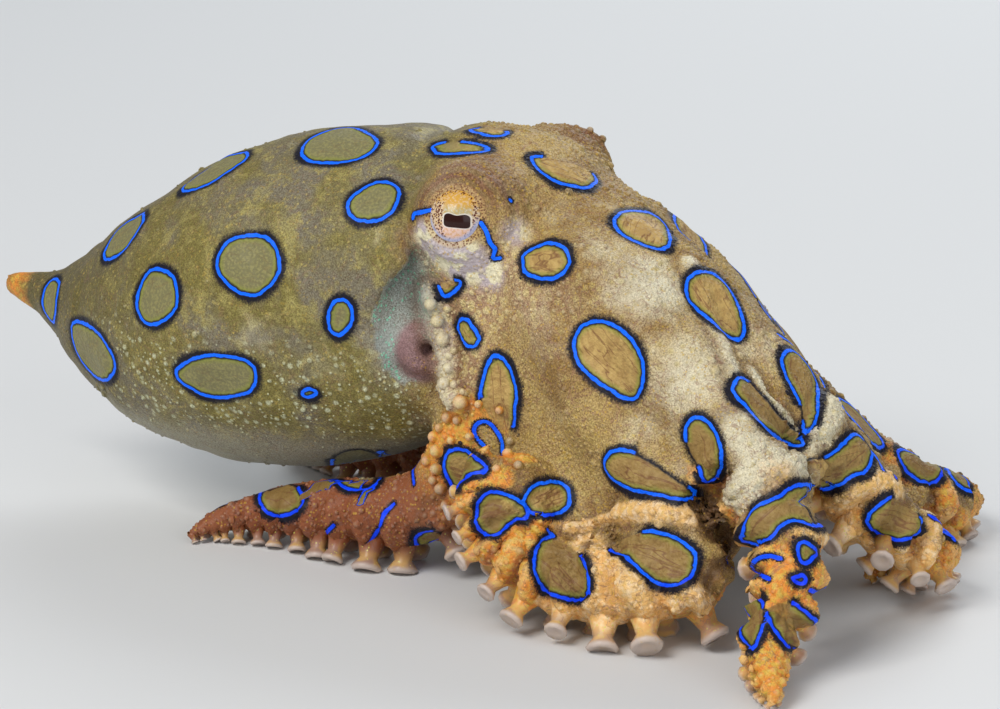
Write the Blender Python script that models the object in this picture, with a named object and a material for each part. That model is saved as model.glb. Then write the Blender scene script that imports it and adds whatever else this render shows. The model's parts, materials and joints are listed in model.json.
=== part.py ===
"""Blue-ringed octopus, life size, sitting with its arms drawn in under the web.

The animal heads along +X, its left side is +Y and +Z is up. It rests on the
floor z = 0 on the suckers and on the undersides of its arms. All sizes below
are millimetres; the meshes are written in metres.
"""

import math

import bmesh
import bpy
import numpy as np

MM = 0.001                      # one millimetre in scene units
GAP = 0.3                       # clear space between nodes that meet
CENTRE = (-5.0, 3.5)            # middle of the whole animal's box, before it is centred

# Mantle sac: x, height of the axis, half height, half width
MANTLE_STATIONS = [
    (-53.6, 18.7, 0.8, 0.8),
    (-52.2, 18.6, 1.8, 1.5),
    (-49.8, 18.1, 1.8, 1.7),
    (-47.4, 17.7, 2.9, 2.8),
    (-42.0, 17.2, 7.0, 6.9),
    (-37.0, 17.6, 10.4, 10.0),
    (-31.5, 18.9, 13.0, 12.2),
    (-26.0, 20.1, 14.9, 13.6),
    (-20.5, 21.2, 15.8, 14.2),
    (-15.0, 22.1, 15.8, 14.2),
    (-10.0, 23.1, 15.3, 13.6),
    (-5.0, 24.1, 14.4, 13.4),
    (-1.0, 25.1, 13.6, 12.8),
]
MANTLE_SIDES = 20
MANTLE_RINGS = 12
MANTLE_WALL = 1.6               # thickness of the free front edge
MANTLE_CAVITY_START = -15.0     # the cavity opens forwards from here
MANTLE_NOTCH = (2.5, 22.4, 8.3)     # x, z and radius of the rounded side opening
MANTLE_NOTCH_ARC = (130.0, 240.0)   # degrees of that circle that the edge follows
MANTLE_NAPE = ((-7.0, 36.6), (-3.4, 31.7))  # x, z where the sac joins the head above the opening
MANTLE_LIP = -1.6               # x of the front edge under the belly

# Head: centre and half axes of the masses that make it
BRAINCASE = ((0.5, 0.0, 28.1), (12.5, 10.2, 11.2))
CROWN = ((8.6, 0.0, 25.2), (9.2, 10.4, 10.0))
NECK = ((-9.0, 0.0, 25.1), (9.5, 8.6, 9.0))
TURRET = ((1.6, 8.0, 33.0), (5.2, 4.8, 5.2))
BROW = ((1.8, 9.2, 35.9), (3.8, 2.6, 1.9))

EYE_CENTRE = (1.5, 10.2, 33.2)
EYE_RADIUS = 2.7

SIPHON_ROUTE = [(-9.0, -3.0, 19.6), (-5.6, -6.6, 19.4), (-2.8, -9.8, 20.4), (-1.2, -12.8, 22.2)]
SIPHON_RADII = (3.0, 2.2)       # at its root and at its mouth
SIPHON_BORE = (1.3, 3.0)        # radius and depth of the mouth

# Arms: the way points of each axis, from inside the crown to the tip, the
# direction in which the suckers face at some fractions of its length, and its
# girth where it is stouter than the others.
DOWN = (0.0, 0.0, -1.0)
ARMS = {
    "right_1": dict(
        route=[(11.0, -3.9, 32.1), (16.0, -4.2, 30.1), (21.5, -4.3, 26.3), (27.2, -4.2, 20.9),
               (32.5, -3.6, 15.7), (36.8, -1.8, 10.3), (39.8, 1.6, 5.9), (39.6, 6.4, 3.6),
               (36.0, 8.2, 1.5), (33.4, 5.6, 0.5)],
        faces=[(0.0, (-0.6, 0.3, -0.75)), (0.5, (-0.3, 0.1, -0.9)), (0.7, (0.3, 0.1, -0.9)), (1.0, DOWN)]),
    "right_2": dict(
        girth=1.1,
        route=[(9.5, -7.8, 30.7), (14.2, -9.2, 29.1), (20.5, -10.4, 24.5), (27.2, -12.2, 19.1),
               (32.6, -14.6, 14.3), (36.2, -17.2, 9.7), (37.0, -19.8, 6.0), (36.8, -22.8, 3.9),
               (38.6, -26.0, 2.0), (40.4, -28.4, 0.5)],
        faces=[(0.0, (-0.5, 0.7, -0.5)), (0.6, (-0.4, 0.2, -0.9)), (1.0, DOWN)]),
    "right_3": dict(
        girth=1.1,
        route=[(6.4, -7.6, 29.1), (9.6, -9.6, 26.7), (14.0, -10.8, 21.5), (19.4, -12.2, 16.2),
               (24.2, -13.8, 11.3), (26.9, -15.4, 7.1), (23.8, -17.4, 4.4), (17.8, -18.2, 3.9),
               (12.0, -18.4, 5.5), (8.2, -18.4, 9.3), (7.0, -18.2, 13.5), (8.8, -18.2, 15.9)],
        faces=[(0.0, (-0.2, 0.9, -0.4)), (0.45, (-0.4, 0.3, -0.9)), (0.62, (0.0, -0.25, -0.95)),
               (0.8, (-0.6, -0.3, -0.7)), (0.9, (-1.0, -0.2, 0.1)), (1.0, (-0.2, -0.2, 1.0))]),
    "right_4": dict(
        route=[(3.6, -6.6, 26.1), (4.0, -8.4, 23.1), (3.8, -9.2, 18.7), (2.6, -8.8, 13.5),
               (-0.6, -8.8, 7.5), (-6.0, -8.8, 4.2), (-12.6, -8.6, 3.0), (-18.2, -8.4, 2.0),
               (-23.2, -9.6, 1.0), (-26.0, -12.2, 0.5)],
        faces=[(0.0, (0.3, 0.9, -0.4)), (0.4, (0.5, 0.3, -0.8)), (0.6, DOWN), (1.0, DOWN)]),
    "left_1": dict(
        route=[(11.0, 3.9, 30.9), (15.2, 4.8, 26.5), (19.8, 6.2, 20.8), (24.8, 8.6, 15.0),
               (29.2, 11.8, 9.7), (32.6, 15.4, 6.3), (34.6, 19.4, 4.6), (34.4, 24.0, 3.1),
               (31.4, 27.4, 2.0), (28.0, 28.2, 1.0), (26.4, 25.8, 0.5)],
        faces=[(0.0, (-0.6, -0.3, -0.75)), (0.5, (-0.3, -0.2, -0.9)), (0.7, DOWN), (1.0, DOWN)]),
    "left_2": dict(
        route=[(9.5, 7.8, 30.1), (12.8, 9.8, 26.7), (16.0, 13.4, 20.6), (19.0, 18.0, 13.4),
               (21.6, 23.0, 7.6), (22.6, 28.0, 4.8), (19.6, 32.0, 3.2), (14.6, 33.4, 2.0),
               (11.6, 31.0, 1.0), (12.8, 28.2, 0.5)],
        faces=[(0.0, (-0.5, -0.7, -0.5)), (0.5, (-0.3, -0.6, -0.8)), (0.65, DOWN), (1.0, DOWN)]),
    "left_3": dict(
        route=[(6.4, 7.6, 29.1), (7.4, 10.2, 26.5), (8.0, 14.4, 20.7), (7.8, 18.8, 14.3),
               (6.4, 23.2, 8.1), (3.2, 27.0, 4.6), (-2.0, 29.4, 3.1), (-7.6, 29.0, 2.0),
               (-11.4, 26.0, 1.0), (-11.4, 22.6, 0.5)],
        faces=[(0.0, (0.0, -0.9, -0.4)), (0.5, (0.1, -0.5, -0.9)), (0.65, DOWN), (1.0, DOWN)]),
    "left_4": dict(
        route=[(2.6, 6.6, 26.1), (2.6, 8.6, 22.9), (1.6, 10.2, 17.7), (-1.0, 11.2, 11.7),
               (-5.4, 11.8, 6.1), (-11.4, 12.0, 3.9), (-18.0, 12.4, 3.0), (-24.4, 14.0, 2.0),
               (-29.6, 16.8, 1.0), (-32.6, 20.0, 0.5)],
        faces=[(0.0, (0.3, -0.9, -0.3)), (0.4, (0.5, -0.3, -0.8)), (0.6, DOWN), (1.0, DOWN)]),
}
ARM_ROOT_RADIUS = 3.8
ARM_TIP_RADIUS = 0.55
ARM_FULLNESS = 3.6              # how far down the arm its girth holds
ARM_ROOT_SLIMNESS = 0.68        # girth at the very root, where eight arms stand side by side
ARM_ROOT_SHARE = 0.22           # share of the length over which it fills out
ARM_BESIDE = 0.5                # share of an arm that can lie against its neighbour's base
ARM_RINGS = 21
ARM_SIDES = 10
ARM_ORAL_FLATTENING = 0.86
ARM_LENGTHS = {"base": (0.0, 0.4), "mid": (0.4, 0.7), "tip": (0.7, 1.0)}

# Suckers: two rows under each arm, sized by the arm's radius where each one stands
SUCKER_START = 0.2              # fraction of the arm where the first one shows
SUCKER_PITCH = 0.78             # step along the arm, from one row to the other
SUCKER_SPREAD = 33.0            # degrees that each row stands off the middle line
SUCKER_RIM = 0.4                # radius of the rim
SUCKER_LENGTH = 0.9             # from the arm's skin to the rim
SUCKER_WAIST = 0.24             # radius of the stalk
SUCKER_CUP = 0.22               # depth of the cup
SUCKER_ROOT = 0.45              # how deep the stalk is sunk in the arm
SUCKER_SMALLEST = 1.2           # arm radius that the smallest ones are sized by
SUCKER_SIDES = 5
ARM_STANCE = 1.42               # height of a resting arm's axis over the floor, in its own radii

# Web sheets: the two arms that carry each one, and how far down each it reaches
WEBS = {
    "web_front": ("left_1", "right_1", 0.60, 0.62),
    "web_right_12": ("right_1", "right_2", 0.64, 0.66),
    "web_right_23": ("right_2", "right_3", 0.70, 0.53),
    "web_right_34": ("right_3", "right_4", 0.80, 0.48),
    "web_under": ("right_4", "left_4", 0.24, 0.24),
    "web_left_34": ("left_4", "left_3", 0.46, 0.50),
    "web_left_23": ("left_3", "left_2", 0.54, 0.54),
    "web_left_12": ("left_2", "left_1", 0.58, 0.60),
}
WEB_START = 0.04                # fraction of the arms where the sheets begin
WEB_THICKNESS = 1.2
WEB_LIFT = 0.6                  # share of the arm's radius that the sheet lies outside its axis
WEB_SCALLOP = 0.12              # how far the free edge is drawn up between the arms
WEB_ACROSS = 4
WEB_DOWN = 7

# colour (linear RGB) and roughness of each finish
FINISHES = {
    "mantle_skin": ((0.30, 0.24, 0.10), 0.45),
    "head_skin": ((0.42, 0.31, 0.17), 0.45),
    "web_skin": ((0.48, 0.36, 0.22), 0.48),
    "arm_skin": ((0.50, 0.30, 0.12), 0.45),
    "siphon_skin": ((0.45, 0.32, 0.28), 0.40),
    "eyeball": ((0.30, 0.16, 0.06), 0.15),
}


def finish(name):
    """The Principled material of one finish, made once."""
    if name in bpy.data.materials:
        return bpy.data.materials[name]
    colour, roughness = FINISHES[name]
    material = bpy.data.materials.new(name)
    material.use_nodes = True
    shader = material.node_tree.nodes["Principled BSDF"]
    shader.inputs["Base Color"].default_value = (*colour, 1.0)
    shader.inputs["Roughness"].default_value = roughness
    return material


def unit(vector):
    """The vector at length one."""
    vector = np.asarray(vector, float)
    return vector / np.linalg.norm(vector)


def smooth_path(points, count):
    """Evenly spaced points on a Catmull-Rom curve through the given ones."""
    knots = np.asarray(points, float)
    padded = np.vstack([2 * knots[0] - knots[1], knots, 2 * knots[-1] - knots[-2]])
    steps = np.linspace(0.0, 1.0, 16, endpoint=False)[:, None]
    dense = []
    for before, start, end, after in zip(padded, padded[1:], padded[2:], padded[3:]):
        linear = end - before
        square = 2 * before - 5 * start + 4 * end - after
        cube = 3 * start - before - 3 * end + after
        dense.append(start + 0.5 * (linear * steps + square * steps ** 2 + cube * steps ** 3))
    dense = np.vstack(dense + [knots[-1:]])
    run = np.concatenate([[0.0], np.cumsum(np.linalg.norm(np.diff(dense, axis=0), axis=1))])
    even = np.linspace(0.0, run[-1], count)
    return np.column_stack([np.interp(even, run, dense[:, axis]) for axis in range(3)])


def object_from(name, points, faces, skin):
    """A closed mesh object, its faces turned outwards."""
    mesh = bpy.data.meshes.new(name)
    mesh.from_pydata((np.asarray(points) * MM).tolist(), [], faces)
    shape = bmesh.new()
    shape.from_mesh(mesh)
    bmesh.ops.triangulate(shape, faces=[face for face in shape.faces if len(face.verts) > 3])
    bmesh.ops.recalc_face_normals(shape, faces=shape.faces)
    shape.to_mesh(mesh)
    shape.free()
    mesh.materials.append(finish(skin))
    thing = bpy.data.objects.new(name, mesh)
    bpy.context.scene.collection.objects.link(thing)
    return thing


def loft(name, rings, skin):
    """Skin a row of equal rings and close both ends on their centres."""
    sides = len(rings[0])
    points = np.vstack([np.vstack(rings), rings[0].mean(axis=0), rings[-1].mean(axis=0)])
    faces = []
    for row in range(len(rings) - 1):
        for side in range(sides):
            here = row * sides + side
            beside = row * sides + (side + 1) % sides
            faces.append((here, beside, beside + sides, here + sides))
    first_centre = len(rings) * sides
    last_row = first_centre - sides
    for side in range(sides):
        beside = (side + 1) % sides
        faces.append((beside, side, first_centre))
        faces.append((last_row + side, last_row + beside, first_centre + 1))
    return object_from(name, points, faces, skin)


def ellipsoid(name, centre, axes, skin, grow=0.0, sides=15, rows=9):
    """A ball stretched to three half axes, grown by the given amount."""
    reach = np.asarray(axes, float) + grow
    rings = []
    for row in range(1, rows):
        polar = math.pi * row / rows
        around = 2 * math.pi * np.arange(sides) / sides
        unit_ring = np.column_stack([
            np.full(sides, -math.cos(polar)),
            math.sin(polar) * np.cos(around),
            math.sin(polar) * np.sin(around)])
        rings.append(np.asarray(centre) + unit_ring * reach)
    ball = loft(name, rings, skin)
    poles = ball.data.vertices[len(rings) * sides:]
    for pole, end in zip(poles, (-1.0, 1.0)):
        pole.co = [MM * value for value in (centre[0] + end * reach[0], centre[1], centre[2])]
    return ball


def remove(thing):
    """Delete an object and its mesh."""
    mesh = thing.data
    bpy.data.objects.remove(thing)
    bpy.data.meshes.remove(mesh)


def settle(thing):
    """Apply an object's modifiers and keep only its largest closed surface."""
    scene_state = bpy.context.evaluated_depsgraph_get()
    mesh = bpy.data.meshes.new_from_object(thing.evaluated_get(scene_state))
    thing.modifiers.clear()
    old = thing.data
    thing.data = mesh
    bpy.data.meshes.remove(old)
    shape = bmesh.new()
    shape.from_mesh(mesh)
    bmesh.ops.triangulate(shape, faces=shape.faces)
    pieces = closed_surfaces(shape)
    largest = max(pieces, key=surface_volume)
    scraps = [face for piece in pieces if piece is not largest for face in piece]
    bmesh.ops.delete(shape, geom=scraps, context="FACES")
    shape.to_mesh(mesh)
    shape.free()


def closed_surfaces(shape):
    """The faces of a mesh, sorted into the surfaces that hang together."""
    left = set(shape.faces)
    pieces = []
    while left:
        seed = left.pop()
        piece = [seed]
        for face in piece:
            for edge in face.edges:
                for other in edge.link_faces:
                    if other in left:
                        left.remove(other)
                        piece.append(other)
        pieces.append(piece)
    return pieces


def surface_volume(faces):
    """The volume that a closed surface of triangles holds."""
    total = 0.0
    for face in faces:
        first, second, third = (vert.co for vert in face.verts)
        total += first.cross(second).dot(third) / 6.0
    return abs(total)


def join(body, parts):
    """Fuse parts onto a body with one Boolean union."""
    kit = bpy.data.collections.new(body.name + "_kit")
    for part in parts:
        kit.objects.link(part)
    union = body.modifiers.new("join", "BOOLEAN")
    union.operation = "UNION"
    union.operand_type = "COLLECTION"
    union.collection = kit
    union.solver = "MANIFOLD"
    settle(body)
    for part in parts:
        remove(part)
    bpy.data.collections.remove(kit)


def cut(body, cutter):
    """Take a cutter's space out of a body and delete the cutter."""
    cutter.hide_render = True
    cutter.display_type = "WIRE"
    difference = body.modifiers.new("cut", "BOOLEAN")
    difference.operation = "DIFFERENCE"
    difference.object = cutter
    difference.solver = "MANIFOLD"
    settle(body)
    remove(cutter)


def mantle_rings(start, end, count, inset=0.0):
    """Elliptic rings along the sac between two x places, drawn in by the inset."""
    table = np.array(MANTLE_STATIONS)
    spread = smooth_path(table[:, :1] * [1.0, 0.0, 0.0], 400)[:, 0]
    profile = [np.interp(spread, table[:, 0], table[:, column]) for column in (1, 2, 3)]
    soft = [np.convolve(np.pad(line, 9, mode="edge"), np.ones(19) / 19, mode="valid") for line in profile]
    around = 2 * math.pi * np.arange(MANTLE_SIDES) / MANTLE_SIDES
    rings = []
    for place in np.linspace(0.0, 1.0, count):
        x = start + (end - start) * place
        axis_height, half_height, half_width = (np.interp(x, spread, line) for line in soft)
        rings.append(np.column_stack([
            np.full(MANTLE_SIDES, x),
            (half_width - inset) * np.cos(around),
            axis_height + (half_height - inset) * np.sin(around)]))
    return rings


def make_mantle():
    """The sac, with its cavity open at the front and rounded openings at the sides."""
    first_x = MANTLE_STATIONS[0][0]
    last_x = MANTLE_STATIONS[-1][0]
    tip_rings = mantle_rings(first_x, -46.0, 5)
    sac = loft("mantle", tip_rings + mantle_rings(-44.0, last_x, MANTLE_RINGS), "mantle_skin")
    cavity = mantle_rings(MANTLE_CAVITY_START, last_x, 5, MANTLE_WALL)
    cavity[0] = cavity[0] * 0.5 + cavity[0].mean(axis=0) * 0.5
    cavity.append(cavity[-1] + [4.0, 0.0, 0.0])
    cut(sac, loft("cavity", cavity, "mantle_skin"))
    cut(sac, make_front_cutter())
    cut(sac, make_head_mass("head_room", GAP))
    cut(sac, siphon_tube("siphon_room", GAP))
    for arm in ("right_4", "left_4"):
        cut(sac, arm_tube("arm_room", arm, 0.0, 0.7, GAP))


def make_front_cutter():
    """All that lies in front of the sac's edge: nape, side opening and lip."""
    x, z, radius = MANTLE_NOTCH
    above, below = 50.0, 0.0
    ahead, aside = 30.0, 20.0
    edge = [(ahead, below), (ahead, above), (MANTLE_NAPE[0][0], above), *MANTLE_NAPE]
    for degrees in np.linspace(*MANTLE_NOTCH_ARC, 10):
        angle = math.radians(degrees)
        edge.append((x + radius * math.cos(angle), z + radius * math.sin(angle)))
    edge += [(MANTLE_LIP, z - 1.25 * radius), (MANTLE_LIP, below)]
    outline = np.array([(place, 0.0, height) for place, height in edge])
    shape = [outline + [0.0, side * aside, 0.0] for side in (-1, 1)]
    sides = len(outline)
    faces = [tuple(range(sides)), tuple(range(2 * sides - 1, sides - 1, -1))]
    faces += [(here, here + sides, (here + 1) % sides + sides, (here + 1) % sides) for here in range(sides)]
    return object_from("front_cutter", np.vstack(shape), faces, "mantle_skin")


def make_head_mass(name, grow=0.0):
    """Braincase, crown, neck and both eye turrets as one lump."""
    lump = ellipsoid(name, *BRAINCASE, "head_skin", grow)
    masses = [ellipsoid("mass", *CROWN, "head_skin", grow), ellipsoid("mass", *NECK, "head_skin", grow)]
    for side in (-1.0, 1.0):
        for centre, axes in (TURRET, BROW):
            place = (centre[0], side * centre[1], centre[2])
            masses.append(ellipsoid("mass", place, axes, "head_skin", grow, 10, 7))
    join(lump, masses)
    return lump


def make_head():
    """The head with a socket for each eye."""
    head = make_head_mass("head")
    for side in (-1.0, 1.0):
        socket = (EYE_CENTRE[0], side * EYE_CENTRE[1], EYE_CENTRE[2])
        cut(head, ellipsoid("socket", socket, [EYE_RADIUS] * 3, "head_skin", GAP, 12, 8))
    return head


def make_eyes():
    """Two balls, each in its socket."""
    for name, side in (("eye_right", -1.0), ("eye_left", 1.0)):
        place = (EYE_CENTRE[0], side * EYE_CENTRE[1], EYE_CENTRE[2])
        ellipsoid(name, place, [EYE_RADIUS] * 3, "eyeball", 0.0, 12, 8)


def tube_rings(path, radii, sides, facing=None, flattening=1.0, tangents=None):
    """Rings square to a path; the facing side is flattened."""
    if tangents is None:
        tangents = np.gradient(path, axis=0)
    around = 2 * math.pi * np.arange(sides) / sides
    rings = []
    for index, (centre, tangent, radius) in enumerate(zip(path, tangents, radii)):
        along = unit(tangent)
        wanted = DOWN if facing is None else facing[index]
        oral = unit(wanted - np.dot(wanted, along) * along)
        beside = np.cross(along, oral)
        depth = np.where(np.cos(around) > 0, radius * flattening, radius)
        rings.append(centre + np.outer(depth * np.cos(around), oral) + np.outer(radius * np.sin(around), beside))
    return rings


def siphon_tube(name, grow=0.0):
    """The funnel without its bore."""
    path = smooth_path(SIPHON_ROUTE, 7)
    radii = np.linspace(*SIPHON_RADII, 7) + grow
    return loft(name, tube_rings(path, radii, 10), "siphon_skin")


def make_siphon():
    """The funnel beside the neck, with an open mouth."""
    funnel = siphon_tube("siphon")
    path = smooth_path(SIPHON_ROUTE, 7)
    mouth = unit(path[-1] - path[-2])
    bore_radius, bore_depth = SIPHON_BORE
    bore_path = np.array([path[-1] - mouth * bore_depth, path[-1], path[-1] + mouth])
    cut(funnel, loft("bore", tube_rings(bore_path, [bore_radius] * 3, 8), "siphon_skin"))
    cut(funnel, make_head_mass("head_room", GAP))
    cut(funnel, arm_tube("arm_room", "right_4", 0.0, 0.4, GAP))
    return funnel


def arm_line(name, count=160):
    """Axis points, sucker directions and radii along one arm."""
    arm = ARMS[name]
    path = smooth_path(arm["route"], count)
    share = np.linspace(0.0, 1.0, count)
    places = [place for place, direction in arm["faces"]]
    directions = np.array([direction for place, direction in arm["faces"]])
    facing = np.column_stack([np.interp(share, places, directions[:, axis]) for axis in range(3)])
    radii = ARM_TIP_RADIUS + (ARM_ROOT_RADIUS - ARM_TIP_RADIUS) * (1.0 - share ** ARM_FULLNESS)
    girth = (ARM_ROOT_SLIMNESS, arm.get("girth", 1.0))
    radii *= np.interp(share, [0.0, ARM_ROOT_SHARE], girth)
    lifted = np.maximum(path[:, 2], ARM_STANCE * radii)
    settled = np.convolve(np.pad(lifted, 4, mode="edge"), np.ones(9) / 9, mode="valid")
    path[:, 2] = np.where(lifted > path[:, 2], lifted, settled)
    return path, facing, radii


def read_rows(rows, places):
    """Rows of a table at fractional places."""
    index = np.arange(len(rows))
    return np.column_stack([np.interp(places, index, rows[:, column]) for column in range(rows.shape[1])])


def arm_tube(node, name, start, end, grow=0.0):
    """One length of an arm as a tapered tube."""
    path, facing, radii = arm_line(name)
    length = np.linalg.norm(np.diff(path, axis=0), axis=1).sum()
    half_gap = 0.5 * GAP / length
    low = start + (half_gap if start > 0 and not grow else 0.0)
    high = end - (half_gap if end < 1 and not grow else 0.0)
    count = max(4, round(ARM_RINGS * (end - start)) + 1)
    wanted = np.linspace(low, high, count) * (len(path) - 1)
    thickness = np.interp(wanted, np.arange(len(path)), radii) + grow
    axis, aim, tangents = (read_rows(rows, wanted) for rows in (path, facing, np.gradient(path, axis=0)))
    rings = tube_rings(axis, thickness, ARM_SIDES, aim, ARM_ORAL_FLATTENING, tangents)
    return loft(node, rings, "arm_skin")


def make_sucker(root, outward, size):
    """A waisted stalk with a cupped rim, flat where it meets the floor."""
    along = unit(outward)
    first = unit(np.cross(along, (0.3, 0.8, 0.5)))
    second = np.cross(along, first)
    around = 2 * math.pi * np.arange(SUCKER_SIDES) / SUCKER_SIDES
    spokes = np.outer(np.cos(around), first) + np.outer(np.sin(around), second)
    rings = []
    for height, radius in ((-SUCKER_ROOT, SUCKER_WAIST), (0.35 * SUCKER_LENGTH, SUCKER_WAIST),
                           (SUCKER_LENGTH, SUCKER_RIM)):
        rings.append(root + along * height * size + spokes * radius * size)
    stalk = loft("sucker", rings, "arm_skin")
    cup = stalk.data.vertices[len(stalk.data.vertices) - 1]
    cup.co = (root + along * (SUCKER_LENGTH - SUCKER_CUP) * size) * MM
    for vertex in stalk.data.vertices:
        vertex.co.z = max(vertex.co.z, 0.0)
    return stalk


def sucker_places(name):
    """Root, direction and size of each sucker of an arm, with its share of the length."""
    path, facing, radii = arm_line(name)
    tangents = np.gradient(path, axis=0)
    length = np.linalg.norm(np.diff(path, axis=0), axis=1).sum()
    share = SUCKER_START
    row = 1
    places = []
    while share < 1.0:
        place = share * (len(path) - 1)
        centre, aim, tangent = (read_rows(rows, [place])[0] for rows in (path, facing, tangents))
        radius = float(np.interp(place, np.arange(len(path)), radii))
        size = max(SUCKER_SMALLEST, radius)
        along = unit(tangent)
        oral = unit(aim - np.dot(aim, along) * along)
        lean = math.radians(SUCKER_SPREAD) * row
        outward = oral * math.cos(lean) + np.cross(along, oral) * math.sin(lean)
        places.append((share, centre + outward * radius * ARM_ORAL_FLATTENING, outward, size))
        share += SUCKER_PITCH * size / length
        row = -row
    return places


def obstacles(name):
    """Points and radii of everything a sucker of this arm has to stay clear of."""
    balls = []
    for other in ARMS:
        if other != name:
            path, facing, radii = arm_line(other, 60)
            balls += [(point, radius) for point, radius in zip(path, radii)]
            balls += [(root + outward * SUCKER_LENGTH * size, SUCKER_RIM * size)
                      for share, root, outward, size in sucker_places(other)
                      if list(ARMS).index(other) < list(ARMS).index(name)]
    for first, second, first_end, second_end in WEBS.values():
        grid = web_grid(first, second, first_end, second_end, 12, 16)
        balls += [(point, WEB_THICKNESS / 2) for point in grid.reshape(-1, 3)]
    return np.array([point for point, radius in balls]), np.array([radius for point, radius in balls])


def make_suckers(name, start, end):
    """The suckers that stand on one length of an arm, where nothing is in their way."""
    path = arm_line(name)[0]
    length = np.linalg.norm(np.diff(path, axis=0), axis=1).sum()
    points, radii = obstacles(name)
    suckers = []
    for share, root, outward, size in sucker_places(name):
        clear = SUCKER_RIM * size / length
        if share < start + clear * (start > 0) or share > end - clear:
            continue
        rim = root + outward * SUCKER_LENGTH * size
        room = np.linalg.norm(points - rim, axis=1) - radii
        if room.min() > SUCKER_RIM * size + GAP:
            suckers.append(make_sucker(root, outward, size))
    return suckers


def make_arms():
    """Each arm in its lengths, the first cut clear of the head."""
    for name in ARMS:
        for part, (start, end) in ARM_LENGTHS.items():
            arm = arm_tube(f"arm_{name}_{part}", name, start, end)
            suckers = make_suckers(name, start, end)
            if suckers:
                join(arm, suckers)
            if part == "base":
                cut(arm, make_head_mass("head_room", GAP))
                for first, second, first_end, second_end in WEBS.values():
                    if second == name:
                        cut(arm, arm_tube("arm_room", first, 0.0, ARM_BESIDE, GAP))


def sheet(name, grid, thickness, skin):
    """A grid of points given a thickness, split alike on both faces."""
    rows, columns = grid.shape[:2]
    down = np.gradient(grid, axis=0)
    across = np.gradient(grid, axis=1)
    normals = np.cross(across, down)
    normals /= np.linalg.norm(normals, axis=2, keepdims=True)
    outer = (grid + normals * thickness / 2).reshape(-1, 3)
    inner = (grid - normals * thickness / 2).reshape(-1, 3)
    lower = rows * columns
    faces = []
    for row in range(rows - 1):
        for column in range(columns - 1):
            first = row * columns + column
            corners = (first, first + 1, first + columns + 1, first + columns)
            faces.append((corners[0], corners[1], corners[2]))
            faces.append((corners[0], corners[2], corners[3]))
            faces.append((lower + corners[1], lower + corners[0], lower + corners[2]))
            faces.append((lower + corners[2], lower + corners[0], lower + corners[3]))
    rim = [column for column in range(columns)]
    rim += [row * columns + columns - 1 for row in range(1, rows)]
    rim += [(rows - 1) * columns + column for column in range(columns - 2, -1, -1)]
    rim += [row * columns for row in range(rows - 2, 0, -1)]
    for here, after in zip(rim, rim[1:] + rim[:1]):
        faces.append((after, here, lower + here))
        faces.append((after, lower + here, lower + after))
    return object_from(name, np.vstack([outer, inner]), faces, skin)


def web_grid(first, second, first_end, second_end, cells_across=WEB_ACROSS, cells_down=WEB_DOWN):
    """Points of a web sheet, from one arm across to the next and down to its free edge."""
    sides = []
    for name, end in ((first, first_end), (second, second_end)):
        path, facing, radii = arm_line(name)
        tangents = np.gradient(path, axis=0)
        tangents /= np.linalg.norm(tangents, axis=1, keepdims=True)
        oral = facing - np.sum(facing * tangents, axis=1, keepdims=True) * tangents
        oral /= np.linalg.norm(oral, axis=1, keepdims=True)
        sides.append((path - oral * radii[:, None] * WEB_LIFT, end))
    grid = np.zeros((cells_down + 1, cells_across + 1, 3))
    for column in range(cells_across + 1):
        across = column / cells_across
        drawn_up = 1.0 - WEB_SCALLOP * 4.0 * across * (1.0 - across)
        for row in range(cells_down + 1):
            down = row / cells_down * drawn_up
            ends = []
            for line, end in sides:
                place = (WEB_START + (end - WEB_START) * down) * (len(line) - 1)
                ends.append(read_rows(line, [place])[0])
            grid[row, column] = (1.0 - across) * ends[0] + across * ends[1]
    return grid


def make_webs():
    """Eight sheets between the arms, cut clear of the arms and the head."""
    for name, (first, second, first_end, second_end) in WEBS.items():
        grid = web_grid(first, second, first_end, second_end)
        web = sheet(name, grid, WEB_THICKNESS, "web_skin")
        cut(web, make_head_mass("head_room", GAP))
        for arm in (first, second):
            cut(web, arm_tube("arm_room", arm, 0.0, 1.0, 2.0 * GAP))


def centre_on_floor():
    """Move every mesh so that the whole animal is centred over the origin."""
    for thing in bpy.context.scene.objects:
        for vertex in thing.data.vertices:
            vertex.co.x -= CENTRE[0] * MM
            vertex.co.y -= CENTRE[1] * MM


def main():
    """Build the whole animal."""
    for old in list(bpy.data.objects):
        bpy.data.objects.remove(old)
    make_mantle()
    make_head()
    make_eyes()
    make_siphon()
    make_arms()
    make_webs()
    centre_on_floor()


main()
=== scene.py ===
# %% [markdown]
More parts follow.
